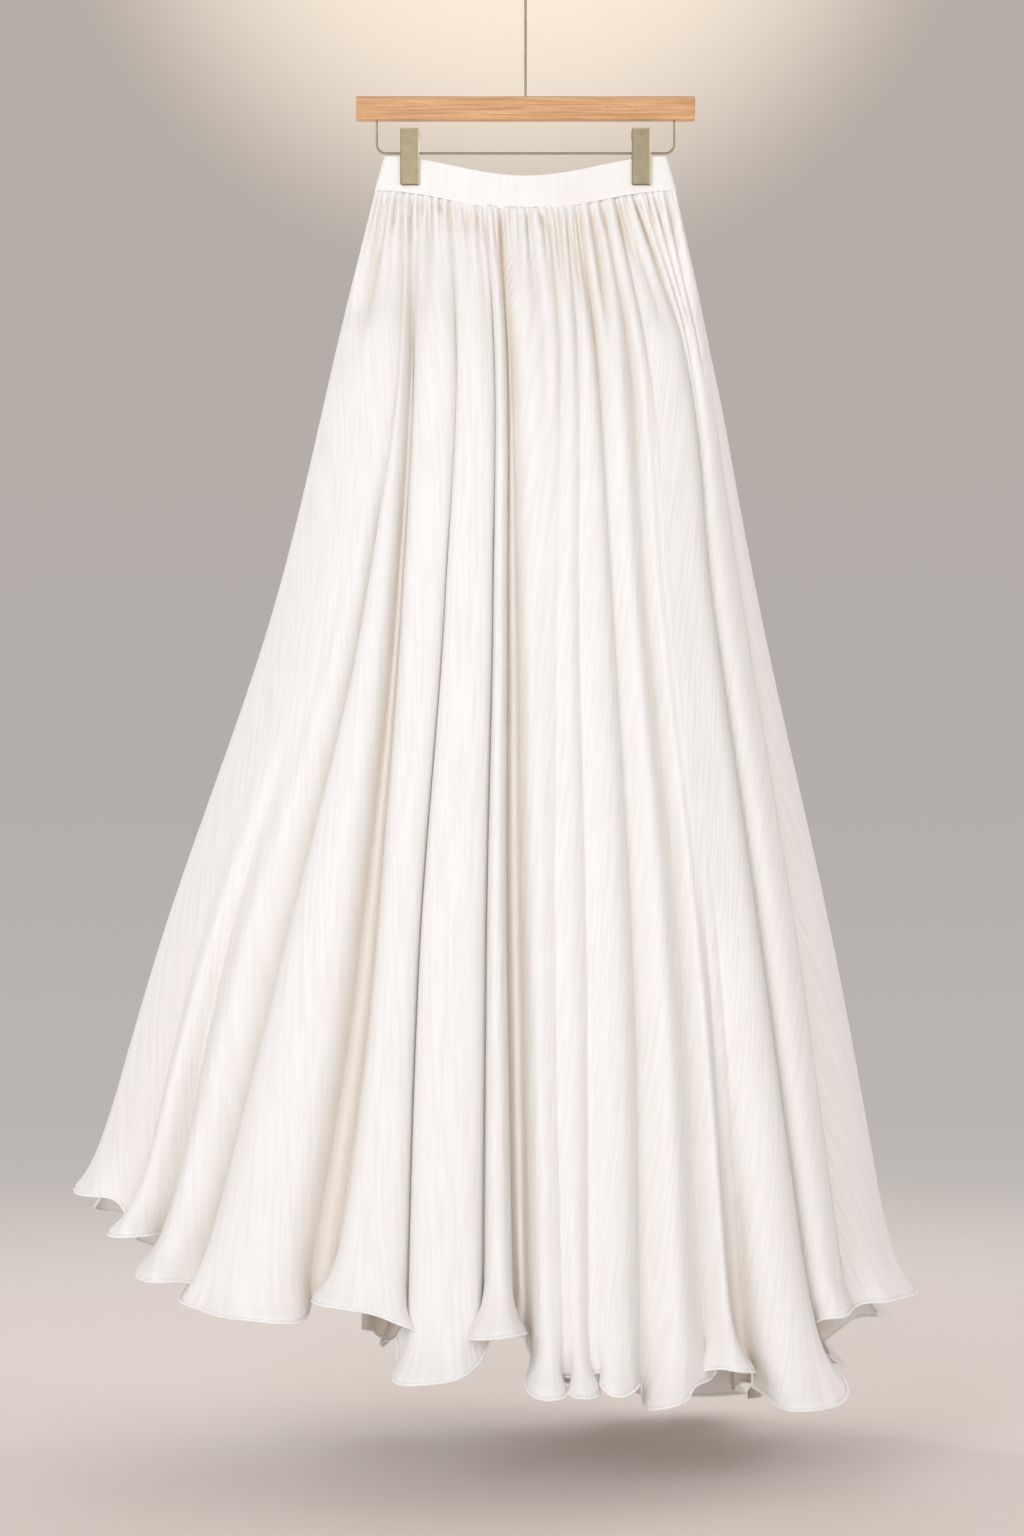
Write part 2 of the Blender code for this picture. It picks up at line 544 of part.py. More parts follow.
def build_button(mat):
    """A round button with a raised rim and four holes, on the outer band end."""
    middle = band_point(np.array([270.0]), np.array([0.5]))[:, 0]
    slope = BAND_LEAN * BUTTON_RADIUS / BAND_HEIGHT
    face = middle[1] + 1.5 * BAND_WALL + slope + 2 * GAP
    centre = (0.0, face + BUTTON_THICKNESS / 2, middle[2])
    bm = rod_mesh(BUTTON_RADIUS, BUTTON_THICKNESS, centre, "Y", sides=32)
    outer = max(bm.faces, key=lambda f: f.calc_center_median().y if len(f.verts) > 4 else -1.0)
    bmesh.ops.inset_individual(bm, faces=[outer], thickness=BUTTON_RIM * MM, depth=-BUTTON_DISH * MM)
    button = add_object("waist_button", bm, mat)
    for sx in (-1, 1):
        for sz in (-1, 1):
            place = (sx * BUTTON_HOLE_PITCH / 2, centre[1], centre[2] + sz * BUTTON_HOLE_PITCH / 2)
            hole = rod_mesh(BUTTON_HOLE_RADIUS, 3 * BUTTON_THICKNESS, place, "Y", sides=10)
            add_cutter(f"button_hole_{sx}_{sz}", hole, button)


# ---------------------------------------------------------------- the hanger's pieces
def build_bar(mat):
    bottom = BAR_TOP_Z - BAR_HEIGHT
    bm = box_mesh((-BAR_LENGTH / 2, -BAR_DEPTH / 2, bottom), (BAR_LENGTH / 2, BAR_DEPTH / 2, BAR_TOP_Z))
    bmesh.ops.bevel(
        bm, geom=bm.edges[:], offset=BAR_EDGE * MM, offset_type="OFFSET", segments=2, profile=0.5,
        affect="EDGES", material=-1)
    bar = add_object("hanger_bar", bm, mat)
    depth = 2 * (HOLE_DEPTH + GAP)
    stem_hole = rod_mesh(HOOK_WIRE / 2 + GAP, depth, (0, 0, BAR_TOP_Z), "Z")
    add_cutter("stem_hole", stem_hole, bar)
    for side in (-1, 1):
        wire_hole = rod_mesh(LOWER_WIRE / 2 + GAP, depth, (side * LOWER_WIRE_HALF_SPAN, 0, bottom), "Z")
        add_cutter(f"wire_hole_{side}", wire_hole, bar)


def arc(centre, radius, start, end, steps):
    """Points of an arc in the XZ plane, with its angles in degrees."""
    turns = [math.radians(start + (end - start) * k / steps) for k in range(steps + 1)]
    return [(centre[0] + radius * math.cos(a), centre[1] + radius * math.sin(a)) for a in turns]


def build_wire(name, route, diameter, mat, resolution=3):
    """A bent wire along points of the XZ plane."""
    curve = bpy.data.curves.new(name, "CURVE")
    curve.dimensions = "3D"
    curve.bevel_depth = diameter / 2 * MM
    curve.bevel_resolution = resolution
    curve.use_fill_caps = True
    spline = curve.splines.new("POLY")
    spline.points.add(len(route) - 1)
    for point, (x, z) in zip(spline.points, route):
        point.co = (x * MM, 0.0, z * MM, 1.0)
    curve.materials.append(mat)
    wire = bpy.data.objects.new(name, curve)
    bpy.context.scene.collection.objects.link(wire)


def build_hook(mat):
    radius = HOOK_INNER_RADIUS + HOOK_WIRE / 2
    centre = (0.0, -HOOK_INNER_RADIUS)
    join = math.radians(HOOK_JOIN_ANGLE)
    join_x, join_z = radius * math.cos(join), centre[1] + radius * math.sin(join)
    bend = -HOOK_JOIN_ANGLE
    bend_radius = join_x / (1 - math.cos(math.radians(bend)))
    bend_z = join_z - bend_radius * math.sin(math.radians(bend))
    route = [(0.0, BAR_TOP_Z - HOLE_DEPTH)]
    route += arc((bend_radius, bend_z), bend_radius, 180, 180 - bend, 8)
    route += arc(centre, radius, HOOK_JOIN_ANGLE, HOOK_END_ANGLE, 26)[1:]
    build_wire("hanger_hook", route, HOOK_WIRE, mat)


def build_lower_wire(mat):
    top = BAR_TOP_Z - BAR_HEIGHT + HOLE_DEPTH
    inner, low = LOWER_WIRE_HALF_SPAN - LOWER_WIRE_CORNER, LOWER_WIRE_Z + LOWER_WIRE_CORNER
    route = [(-LOWER_WIRE_HALF_SPAN, top)]
    route += arc((-inner, low), LOWER_WIRE_CORNER, 180, 270, 6)
    route += arc((inner, low), LOWER_WIRE_CORNER, 270, 360, 6)
    route += [(LOWER_WIRE_HALF_SPAN, top)]
    build_wire("hanger_wire", route, LOWER_WIRE, mat)


def build_clip_plate(name, x, facing, mat):
    """Half of a clip: a rimmed plate whose side flanges close round the wire. facing is -1 or 1."""
    half = CLIP_WIDTH / 2
    low, high = (GAP, CLIP_INNER_Y + CLIP_PLATE)
    ys = sorted((facing * low, facing * high))
    bm = box_mesh((x - half, ys[0], CLIP_BOTTOM_Z), (x + half, ys[1], CLIP_TOP_Z))
    uprights = [e for e in bm.edges if abs(e.verts[0].co.y - e.verts[1].co.y) > 2 * MM]
    bmesh.ops.bevel(
        bm, geom=uprights, offset=1.6 * MM, offset_type="OFFSET", segments=2, profile=0.5,
        affect="EDGES", material=-1)
    face = max(bm.faces, key=lambda f: f.calc_center_median().y * facing)
    bmesh.ops.inset_individual(bm, faces=[face], thickness=CLIP_RIM * MM, depth=-CLIP_RECESS * MM)
    plate = add_object(name, bm, mat, round_faces=False)

    def trim(label, low_corner, high_corner):
        ends = sorted((facing * low_corner[0], facing * high_corner[0]))
        lo = (x - low_corner[2], ends[0], low_corner[1])
        hi = (x + low_corner[2], ends[1], high_corner[1])
        add_cutter(f"{name}_{label}", box_mesh(lo, hi), plate)

    wide, inside = half + 2, half - CLIP_PLATE
    trim("above", (-2, FLANGE_TOP_Z, wide), (CLIP_INNER_Y, CLIP_TOP_Z + 3))
    trim("below", (-2, CLIP_BOTTOM_Z - 3, wide), (CLIP_INNER_Y, FLANGE_BOTTOM_Z))
    trim("hollow", (-2, FLANGE_BOTTOM_Z - 2, inside), (CLIP_INNER_Y, FLANGE_TOP_Z + 3))
    notch = rod_mesh(LOWER_WIRE / 2 + GAP, CLIP_WIDTH + 6, (x, 0, LOWER_WIRE_Z), "X", sides=16)
    add_cutter(f"{name}_wire", notch, plate)


def build_clips(mat):
    for side, x in (("left", -CLIP_X), ("right", CLIP_X)):
        build_clip_plate(f"clip_{side}_front", x, -1, mat)
        build_clip_plate(f"clip_{side}_back", x, 1, mat)


def main():
    for obj in list(bpy.data.objects):
        bpy.data.objects.remove(obj, do_unlink=True)
    crepe = material("ivory crepe", "F1ECE6", 0.75)
    band_cloth = material("ivory waistband cloth", "F3EFEA", 0.70)
    shell = material("pale shell button", "EDE8DF", 0.30)
    wood = material("pale oiled beech", "DDA86E", 0.55)
    brass = material("brushed antique brass", "A99A72", 0.38, metallic=1.0)

    build_panel("skirt_front", FRONT_FOLDS, crepe)
    build_panel("skirt_back", BACK_FOLDS, crepe)
    build_bands(band_cloth)
    build_button(shell)
    build_bar(wood)
    build_hook(brass)
    build_lower_wire(brass)
    build_clips(brass)


main()
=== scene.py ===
# %% [markdown]
# # A gathered maxi skirt on a clip hanger
#
# The skirt hangs by two clips from a flat wooden hanger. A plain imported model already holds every
# piece at its real size. This lesson loads it and dresses it: the cloth gets its fine gathers, creases,
# rolled hem and crepe surface, and the hanger its beech and its antique brass.

# %% Load the fixed frame
from collections import namedtuple
import math
import random

import bmesh
import bpy
from mathutils import Matrix, Vector
import numpy as np


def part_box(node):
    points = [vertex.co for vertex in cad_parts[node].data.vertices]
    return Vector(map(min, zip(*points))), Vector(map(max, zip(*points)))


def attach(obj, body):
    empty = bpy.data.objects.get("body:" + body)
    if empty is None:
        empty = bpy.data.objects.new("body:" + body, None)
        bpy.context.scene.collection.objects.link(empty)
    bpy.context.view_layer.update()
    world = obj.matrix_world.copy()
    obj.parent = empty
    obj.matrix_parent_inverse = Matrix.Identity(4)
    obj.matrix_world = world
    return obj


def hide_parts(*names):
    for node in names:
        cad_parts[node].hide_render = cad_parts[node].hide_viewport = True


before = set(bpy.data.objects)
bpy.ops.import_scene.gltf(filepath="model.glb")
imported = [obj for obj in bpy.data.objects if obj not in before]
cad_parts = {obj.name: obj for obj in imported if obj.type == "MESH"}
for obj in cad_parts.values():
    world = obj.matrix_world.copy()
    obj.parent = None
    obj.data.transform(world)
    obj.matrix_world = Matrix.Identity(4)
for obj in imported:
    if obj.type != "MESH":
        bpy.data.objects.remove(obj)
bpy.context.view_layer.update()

MM = 0.001
print("nodes:", ", ".join(sorted(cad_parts)))

# %% [markdown]
# ## The camera and its frame
#
# The photo was taken level, from 3 m away, so one pixel is one millimetre at the hanger. A longer lens
# would flatten the hem's curves. The lens follows from the picture's height and that distance.

# %% Camera
IMAGE_WIDTH, IMAGE_HEIGHT = 1024, 1536
CAMERA_DISTANCE = 3.0
CAMERA_X, CAMERA_Z = -0.0135, -0.831
SENSOR = 36.0
PIXEL = 1.0 * MM             # size of one pixel at the hanger

camera_data = bpy.data.cameras.new("camera")
camera_data.sensor_width = SENSOR
camera_data.lens = SENSOR * CAMERA_DISTANCE / (IMAGE_HEIGHT * PIXEL)
camera = bpy.data.objects.new("camera", camera_data)
camera.location = (CAMERA_X, -CAMERA_DISTANCE, CAMERA_Z)
camera.rotation_euler = (math.radians(90), 0, 0)
bpy.context.scene.collection.objects.link(camera)
bpy.context.scene.camera = camera
print(f"lens {camera_data.lens:.1f} mm")

# %% [markdown]
# ## The skirt's outline and its folds
#
# A gathered skirt hangs as a tube that widens downwards and is tucked inwards along fold lines. It could
# be draped by simulation, but then the folds fall where they like. Here they are set in a table
# with the angle of each fold round the skirt at five heights, so that they fall as in the photo.

# %% Sizes of the skirt, in millimetres
WAIST_HALF_WIDTH = 150.0     # flat waist, at the seam under the band
BAND_TOP_HALF_WIDTH = 140.5
BAND_HEIGHT = 34.0
BAND_WALL = 2.0
BAND_LEAN = 2.0
SEAM_END_Z = -254.0          # seam height at the two sides
WAIST_DIP = 21.0             # how far the middle of the waist sags between the clips
WAIST_REFERENCE_Z = -265.0   # hem lengths are counted down from here
SEAM_GAP = 0.3
END_SHARPNESS = 60

GATHERS = 45
BELL_HEIGHT = 130.0          # the hem flares over its last stretch
BELL_FLARE = 3.0
FOLD_GROWTH = 110.0
HEM_ROUNDNESS = 0.55
STEEPNESS = 0.13             # how far a sharp fold's walls stand up beside its line
VALLEY_SOFTNESS = 0.06

Station = namedtuple("Station", "z left right front back pinch end_fold")
STATIONS = (
    Station(-265.0, -153.0, 152.5, 14.0, 15.0, 3.2, 2.6),
    Station(-385.0, -182.5, 179.0, 50.0, 44.0, 0.6, 5.0),
    Station(-665.0, -250.5, 232.5, 98.0, 84.0, 0.5, 0.0),
    Station(-1015.0, -368.5, 309.5, 148.0, 122.0, 0.5, 0.0),
    Station(-1385.0, -472.0, 377.0, 190.0, 152.0, 0.5, 0.0),
)
STATION_HEIGHTS = [s.z for s in STATIONS[::-1]]

# %% [markdown]
# Each row is one fold line and the swell of cloth that follows it. The first five numbers are the
# line's angles, start is how far below the seam it opens, tuck how deep it is drawn in, as a share of
# the skirt's depth, and cloth the swell's width in the flat cut. A fold moves by changing one number.

# %% Fold lines, with the swell that follows each
Fold = namedtuple(
    "Fold",
    "name waist hip thigh knee hem start tuck round valley_hem lean flare spread recess cloth crest_hem")
FRONT_FOLDS = (
    Fold("left side seam", 0, -5, -8, -10, -12, 90, 0.04, 1.5, 994, 0.0, 8, 0.10, 0, 175, 983),
    Fold("left soft valley", 24, 28, 30, 29, 29, 500, 0.10, 1.5, 1010, 0.0, 8, 0.10, 0, 101, 1013),
    Fold("left dark valley", 31, 39, 41, 37, 38, 450, 0.16, 1.0, 1026, -0.1, 14, 0.10, 0, 92, 1048),
    Fold("broad lobe edge", 37, 46.8, 51.5, 51, 46.5, 120, 0.16, 0.4, 1056, -0.1, 12, 0.12, 0, 166, 1086),
    Fold("dark valley 1", 42, 50.5, 59.5, 66.1, 65.2, 30, 0.22, 1.5, 1070, 0.0, 0, 0.0, 0.18, 37, 1074),
    Fold("lobe 2 edge", 43.5, 52.2, 61.5, 69.3, 69.2, 30, 0.22, 0.3, 1056, 0.0, 18, 0.15, 0, 138, 1078),
    Fold("thin valley 1", 60.5, 67.7, 73, 77.3, 81, 16, 0.13, 0.25, 1098, -0.05, 24, 0.14, 0, 147, 1138),
    Fold("thin valley 2", 75, 80, 84.5, 88.5, 91, 16, 0.15, 0.5, 1092, 0.0, 20, 0.22, 0, 69, 1092),
    Fold("middle valley", 80, 84, 87.8, 92, 95.2, 24, 0.2, 1.5, 1096, 0.0, 0, 0.0, 0.14, 46, 1100),
    Fold("lobe 5 edge", 81.5, 85.6, 90.4, 94.8, 97.2, 24, 0.2, 0.7, 1130, 0.0, 5, 0.08, 0, 69, 1146),
    Fold("soft line", 98.5, 100.8, 99.5, 99.8, 101.4, 12, 0.04, 1.0, 1144, 0.0, 4, 0.04, 0, 55, 1146),
    Fold("lobe line", 105, 106.5, 104.8, 105.2, 104.6, 20, 0.05, 0.7, 1138, 0.0, 7, 0.06, 0, 120, 1144),
    Fold("grey valley", 110.5, 112.3, 113.2, 113.5, 112, 14, 0.12, 1.5, 1149, 0.0, 14, 0.10, 0, 101, 1160),
    Fold("short valley", 120, 124, 122.8, 123.1, 122, 40, 0.13, 1.2, 1130, 0.0, 8, 0.08, 0, 74, 1132),
    Fold("right valley", 125.5, 129.6, 128, 127.5, 126.8, 560, 0.20, 1.5, 1138, 0, 0, 0, 0.17, 33, 1130),
    Fold("lobe 7 edge", 127, 131.4, 130.2, 130, 130, 560, 0.20, 0.5, 1162, 0.0, 26, 0.22, 0, 147, 1167),
    Fold("right dark edge", 136, 149, 145.5, 142.5, 142.5, 60, 0.14, 0.6, 1112, 0, 4, 0, 0.04, 83, 1088),
    Fold("right side seam", 180, 170, 161, 154, 151, 90, 0.07, 1.5, 1094, 0, 0, 0, 0, 0, 0),
)
BACK_FOLDS = (
    Fold("right side seam", 180, 170, 161, 154, 151, 90, 0.07, 1.5, 1094, 0.0, 8, 0.08, 0, 230, 1084),
    Fold("back valley 1", 206, 190, 191, 193, 194, 300, 0.18, 0.9, 1112, 0.0, 14, 0.12, 0, 130, 1128),
    Fold("back valley 2", 215, 209, 210, 211, 212, 30, 0.24, 0.3, 1160, 0.05, 18, 0.14, 0, 150, 1190),
    Fold("back valley 3", 225, 225, 226, 227, 227, 8, 0.26, 1.5, 1208, 0, 0, 0, 0.22, 46, 1200),
    Fold("back lobe 4", 226.5, 227.2, 228.4, 230, 231, 8, 0.26, 0.3, 1210, 0.0, 22, 0.18, 0, 150, 1224),
    Fold("back valley 4", 240, 242, 243, 243, 244, 40, 0.16, 1.3, 1222, 0.0, 16, 0.10, 0, 130, 1218),
    Fold("back valley 5", 253, 256, 257, 258, 258, 8, 0.26, 0.25, 1204, -0.05, 20, 0.14, 0, 140, 1172),
    Fold("centre back valley", 269, 269, 270, 270, 270, 20, 0.16, 0.8, 1152, 0.0, 24, 0.12, 0, 150, 1164),
    Fold("back valley 6", 286, 285, 284, 284, 283, 16, 0.30, 1.5, 1160, 0, 0, 0, 0.26, 46, 1158),
    Fold("back lobe 7", 287.5, 287, 286.5, 287, 286.5, 16, 0.30, 0.3, 1150, 0.0, 18, 0.18, 0, 140, 1120),
    Fold("back valley 7", 302, 300, 298, 297, 297, 8, 0.22, 0.5, 1106, 0.0, 18, 0.12, 0, 140, 1108),
    Fold("back valley 8", 319, 316, 315, 313, 313, 40, 0.22, 0.3, 1090, -0.05, 14, 0.12, 0, 140, 1062),
    Fold("back valley 9", 337, 333, 331, 330, 330, 240, 0.14, 1.2, 1040, 0.0, 10, 0.10, 0, 150, 1012),
    Fold("left side seam", 360, 355, 352, 350, 348, 90, 0.04, 1.5, 994, 0, 0, 0, 0, 0, 0),
)
for label, folds in (("front", FRONT_FOLDS), ("back", BACK_FOLDS)):
    cloth = sum(f.cloth for f in folds)
    print(f"{label} panel: {len(folds) - 1} swells, cloth {cloth} mm wide at the hem")

# %% [markdown]
# The outline is an ellipse in plan whose ends close on a narrow fold near the waist. Between its
# stations a smooth curve carries every size, because cloth has no kinks across its fall.

# %% Curves and the outline in plan
def smooth_curve(places, values, at):
    """A smooth line through a table's values, straight beyond its ends."""
    places, values = np.asarray(places, float), np.asarray(values, float)
    slopes = np.gradient(values, places)
    i = np.clip(np.searchsorted(places, at) - 1, 0, len(places) - 2)
    span = places[i + 1] - places[i]
    t = (at - places[i]) / span
    inside = np.clip(t, 0.0, 1.0)
    t2, t3 = inside ** 2, inside ** 3
    curve = ((2 * t3 - 3 * t2 + 1) * values[i] + (t3 - 2 * t2 + inside) * span * slopes[i]
             + (3 * t2 - 2 * t3) * values[i + 1] + (t3 - t2) * span * slopes[i + 1])
    beyond = np.where(t < 0.0, t * span * slopes[i], np.where(t > 1.0, (t - 1) * span * slopes[i + 1], 0))
    return curve + beyond


def ease(x):
    """0 to 1 with a gentle start and end."""
    x = np.clip(x, 0.0, 1.0)
    return x * x * (3.0 - 2.0 * x)


def swell_height(v, roundness):
    """How far out the cloth is across a swell: 0 on the fold lines, 1 in the middle."""
    squared = np.sin(np.pi * v) ** 2 + VALLEY_SOFTNESS ** 2
    floor, peak = VALLEY_SOFTNESS ** 2, 1 + VALLEY_SOFTNESS ** 2
    power = roundness / 2
    return (squared ** power - floor ** power) / (peak ** power - floor ** power)


def station(name, z):
    return smooth_curve(STATION_HEIGHTS, [getattr(s, name) for s in STATIONS[::-1]], z)


def from_long_axis(across, around, depth, fold, pinch):
    """How far the outline is from its long axis in plan."""
    ends = np.sqrt(np.maximum(1 - across ** END_SHARPNESS, 0.0))
    return fold * ends + (depth - fold) * np.abs(around) ** (2 * pinch)


def outline(angle, z):
    """A point of the outline and its outward direction, at an angle in degrees and a height."""
    turn = np.radians(angle)
    across, around = -np.cos(turn), np.sin(turn)
    left, right = station("left", z), station("right", z)
    depth = np.where(around > 0, station("front", z), station("back", z))
    half, fold = (right - left) / 2, np.maximum(station("end_fold", z), 0.0)
    away = from_long_axis(across, around, depth, fold, np.maximum(station("pinch", z), 0.5))
    x, y = (left + right) / 2 + half * across, -np.sign(around) * away
    normal = np.stack([across * depth, -around * half])
    return x, y, normal / np.linalg.norm(normal, axis=0)


def seam_height(across):
    """Height of the seam under the band; across runs from -1 at the left to 1 at the right."""
    return SEAM_END_Z - WAIST_DIP * np.cos(across * np.pi / 2) ** 2


# %% [markdown]
# ## Creases
#
# The gathering thread draws the cloth into small uneven pinches. Most fade within a few centimetres,
# some join their neighbour, and a few run on into the long folds. A sine wave would look like a comb,
# so each pinch draws its own place, depth and length from a seeded generator. The main creases are
# listed in millimetres: the place along the panel's seam, how far it drifts on its way down, and how
# deep a trough it is. The deepest start where a large fold grows out of the gathers.

# %% Gathers and creases
Pinch = namedtuple("Pinch", "place drift depth length width")
Crease = namedtuple("Crease", "place drift start length width depth")
PINCH_WIDTH = 1.8
PINCH_DEPTHS = (3.6, 6.8)
PINCH_LENGTHS = ((16, 45), (45, 110), (110, 240))
PINCH_SHARES = (0.40, 0.38, 0.22)
PINCH_JITTER = 0.32          # share of the distance between two pinches
PINCH_DRIFT = 0.010          # share of the seam
PINCH_WIDTHS = (0.75, 1.35)


def draw_pinches(seed, count=GATHERS):
    """One row for each gather: its place along the seam, and how it runs down."""
    draw = random.Random(seed)
    pinches = []
    for k in range(count):
        place = (k + 0.5 + draw.uniform(-PINCH_JITTER, PINCH_JITTER)) / count
        low, high = draw.choices(PINCH_LENGTHS, PINCH_SHARES)[0]
        length = draw.uniform(low, high)
        drift = draw.uniform(-PINCH_DRIFT, PINCH_DRIFT)
        depth, width = draw.uniform(*PINCH_DEPTHS), draw.uniform(*PINCH_WIDTHS)
        pinches.append(Pinch(place, drift, depth, length, width))
    return pinches


FRONT_CREASES = (
    Crease(11, -2, 3, 200, 4, 3.4),
    Crease(22, 0, 2, 150, 3, 3.8),
    Crease(30.2, 0, 1, 300, 4, 6),
    Crease(39, 0, 2, 260, 3, 5.4),
    Crease(55, -3, 1, 240, 3, 4.6),
    Crease(66, 2, 2, 120, 3, 3.6),
    Crease(76.1, 0, 1, 300, 4, 6),
    Crease(92, 1, 3, 150, 3, 3.8),
    Crease(103, -2, 1, 260, 3.2, 4.8),
    Crease(111.2, 0, 1, 300, 3.4, 5.4),
    Crease(124, 0, 1, 300, 4, 6.5),
    Crease(142, -2, 3, 160, 3, 4),
    Crease(155, 2, 2, 300, 3.4, 4.6),
    Crease(166, 1, 3, 120, 3, 3.6),
    Crease(172.2, 0, 1, 320, 4, 6.2),
    Crease(188.8, 0, 2, 300, 3.2, 5),
    Crease(195.5, -2, 3, 150, 3, 4),
    Crease(202.5, 0, 1, 320, 3.6, 6),
    Crease(214, 1, 2, 200, 3.2, 4.2),
    Crease(225, 0, 1, 320, 4, 6.5),
    Crease(238.5, 0, 2, 330, 3.4, 5.2),
    Crease(247, 2, 3, 180, 3, 4),
    Crease(257.9, 0, 2, 260, 3.6, 4.6),
    Crease(268, 2, 2, 320, 4, 4.6),
    Crease(278, 1, 3, 170, 3, 3.8),
    Crease(289, 2, 6, 230, 3.4, 3.2),
)
BACK_CREASES = (
    Crease(15.2, 0, 4, 220, 3.4, 3.6),
    Crease(27.1, 0, 2, 280, 3.6, 5),
    Crease(36, -2, 3, 150, 3, 3.8),
    Crease(45.5, 0, 1, 320, 4, 6),
    Crease(60, 2, 3, 170, 3, 4),
    Crease(75, 0, 1, 300, 3.8, 5.8),
    Crease(86, -2, 2, 230, 3.2, 4.4),
    Crease(97, 1, 3, 140, 3, 3.8),
    Crease(106.1, 0, 1, 320, 4, 6.4),
    Crease(121, -2, 2, 260, 3.2, 4.6),
    Crease(135, 2, 3, 150, 3, 3.8),
    Crease(147.4, 0, 1, 320, 4, 6.4),
    Crease(162, -2, 3, 180, 3, 4.2),
    Crease(177, 2, 2, 260, 3.4, 4.6),
    Crease(193, 0, 1, 320, 4, 6.4),
    Crease(206, -1, 3, 150, 3, 3.8),
    Crease(217, 2, 2, 240, 3.2, 4.6),
    Crease(229.5, 0, 1, 300, 3.8, 6),
    Crease(247, -2, 2, 210, 3.2, 4.2),
    Crease(263.2, 0, 1, 300, 4, 5.8),
    Crease(276, 2, 3, 170, 3, 3.8),
    Crease(288, 0, 4, 220, 3.4, 3.8),
)


def crease_depth(creases, share, below):
    """How far inwards the creases set the cloth, at these shares of the seam and below it."""
    total = np.zeros_like(share)
    for c in creases:
        down = np.clip((below - c.start) / c.length, 0, 1)
        middle = (c.place + c.drift * down) / (2 * WAIST_HALF_WIDTH)
        width = c.width * (0.55 + 0.9 * down) / (2 * WAIST_HALF_WIDTH)
        shape = np.exp(-np.abs((share - middle) / width) ** 1.5)
        total += c.depth * shape * (0.35 + 0.65 * ease(down * 12)) * ease((1 - down) * 1.5)
    return total


def pinch_depth(pinches, share, below):
    total = np.zeros_like(share)
    for p in pinches:
        down = below / p.length
        middle = p.place + p.drift * np.clip(down, 0, 1.5)
        width = PINCH_WIDTH * p.width / (2 * WAIST_HALF_WIDTH) * (1 + 0.9 * np.clip(down, 0, 1.5))
        shape = np.exp(-np.abs((share - middle) / width) ** 1.5)
        opened = 0.45 + 0.55 * ease(below / 10)
        total += p.depth * shape * opened * ease((1 - down) * 1.4)
    return total


# %% [markdown]
# ## Hem ripples
#
# A rolled hem is a little longer than the cloth it edges, so it curls in short uneven ripples between
# the large lobes, and its last few centimetres turn outwards. Each ripple is a row of its panel's
# table: its place across the flat cloth, half its width, how far it stands out and how far it dips.

# %% Ripples along the hem
Ripple = namedtuple("Ripple", "waves size start")
Curl = namedtuple("Curl", "place width out dip")
RIPPLES = (Ripple(17.0, 1.8, 0.7), Ripple(29.0, 1.8, 2.1), Ripple(43.0, 1.2, 4.0))
RIPPLE_HEIGHT = 80.0
CURL_HEIGHT = 46.0
LIP_HEIGHT, LIP_OUT = 20.0, 5.0
FRONT_CURLS = (
    Curl(55, 31, 7, 5), Curl(138, 24, -6, -5), Curl(213, 22, 7, 5), Curl(272, 17, -7, -5),
    Curl(317, 18, 8, 6), Curl(370, 22, 7, 6), Curl(432, 31, -4, -3), Curl(512, 24, 9, 8),
    Curl(589, 18, 9, 6), Curl(644, 26, -5, -4), Curl(701, 17, 8, 7), Curl(747, 18, 9, 6),
    Curl(802, 28, -5, -4), Curl(869, 20, 10, 8), Curl(929, 15, 10, 8), Curl(966, 14, -8, -7),
    Curl(1001, 17, 11, 8), Curl(1038, 13, -9, -6), Curl(1073, 15, 10, 7), Curl(1115, 16, -8, -6),
    Curl(1152, 17, 10, 8), Curl(1196, 17, -8, -7), Curl(1236, 15, 9, 8), Curl(1281, 15, -8, -7),
    Curl(1321, 16, 9, 8), Curl(1380, 24, 8, 6), Curl(1446, 22, -6, -5), Curl(1509, 18, 8, 6),
    Curl(1564, 20, -6, -5), Curl(1614, 18, 7, 6),
)
BACK_CURLS = (
    Curl(70, 36, 7, 5), Curl(170, 28, -6, -5), Curl(258, 22, 9, 7), Curl(322, 20, -7, -6),
    Curl(380, 20, 10, 8), Curl(436, 18, -8, -6), Curl(498, 22, 9, 8), Curl(560, 26, -6, -5),
    Curl(636, 22, 10, 7), Curl(700, 18, -8, -6), Curl(752, 18, 10, 8), Curl(806, 17, -8, -7),
    Curl(858, 18, 10, 8), Curl(918, 22, -7, -6), Curl(980, 20, 9, 8), Curl(1040, 20, -7, -6),
    Curl(1100, 19, 10, 8), Curl(1158, 17, -8, -7), Curl(1212, 19, 9, 7), Curl(1280, 26, -6, -5),
    Curl(1352, 22, 9, 7), Curl(1424, 24, -7, -5), Curl(1500, 24, 8, 7), Curl(1584, 30, -5, -5),
    Curl(1664, 26, 7, 6),
)


def ripple_out(u, above):
    """How far the short ripples and the turned lip stand out near the hem."""
    waves = sum(r.size * np.sin(2 * np.pi * r.waves * u + r.start) for r in RIPPLES)
    lip = LIP_OUT * np.clip(1 - above / LIP_HEIGHT, 0, 1) ** 2
    return waves * np.clip(1 - above / RIPPLE_HEIGHT, 0, 1) ** 2 + lip


def curl_shape(curls, flat_x):
    """The curls' total outward and downward push along the hem, at these places of the flat cloth."""
    out, dip = np.zeros_like(flat_x), np.zeros_like(flat_x)
    for c in curls:
        shape = np.exp(-((flat_x - c.place) / c.width) ** 2)
        out += c.out * shape
        dip += c.dip * shape
    return out, dip


# %% [markdown]
# ## The drape
#
# A share u runs across a panel's cloth and a share t down it. The drape turns a pair of shares into a
# point: the outline first, then the folds, the flared hem, and last the gathers, creases and ripples
# along the cloth's own outward direction.

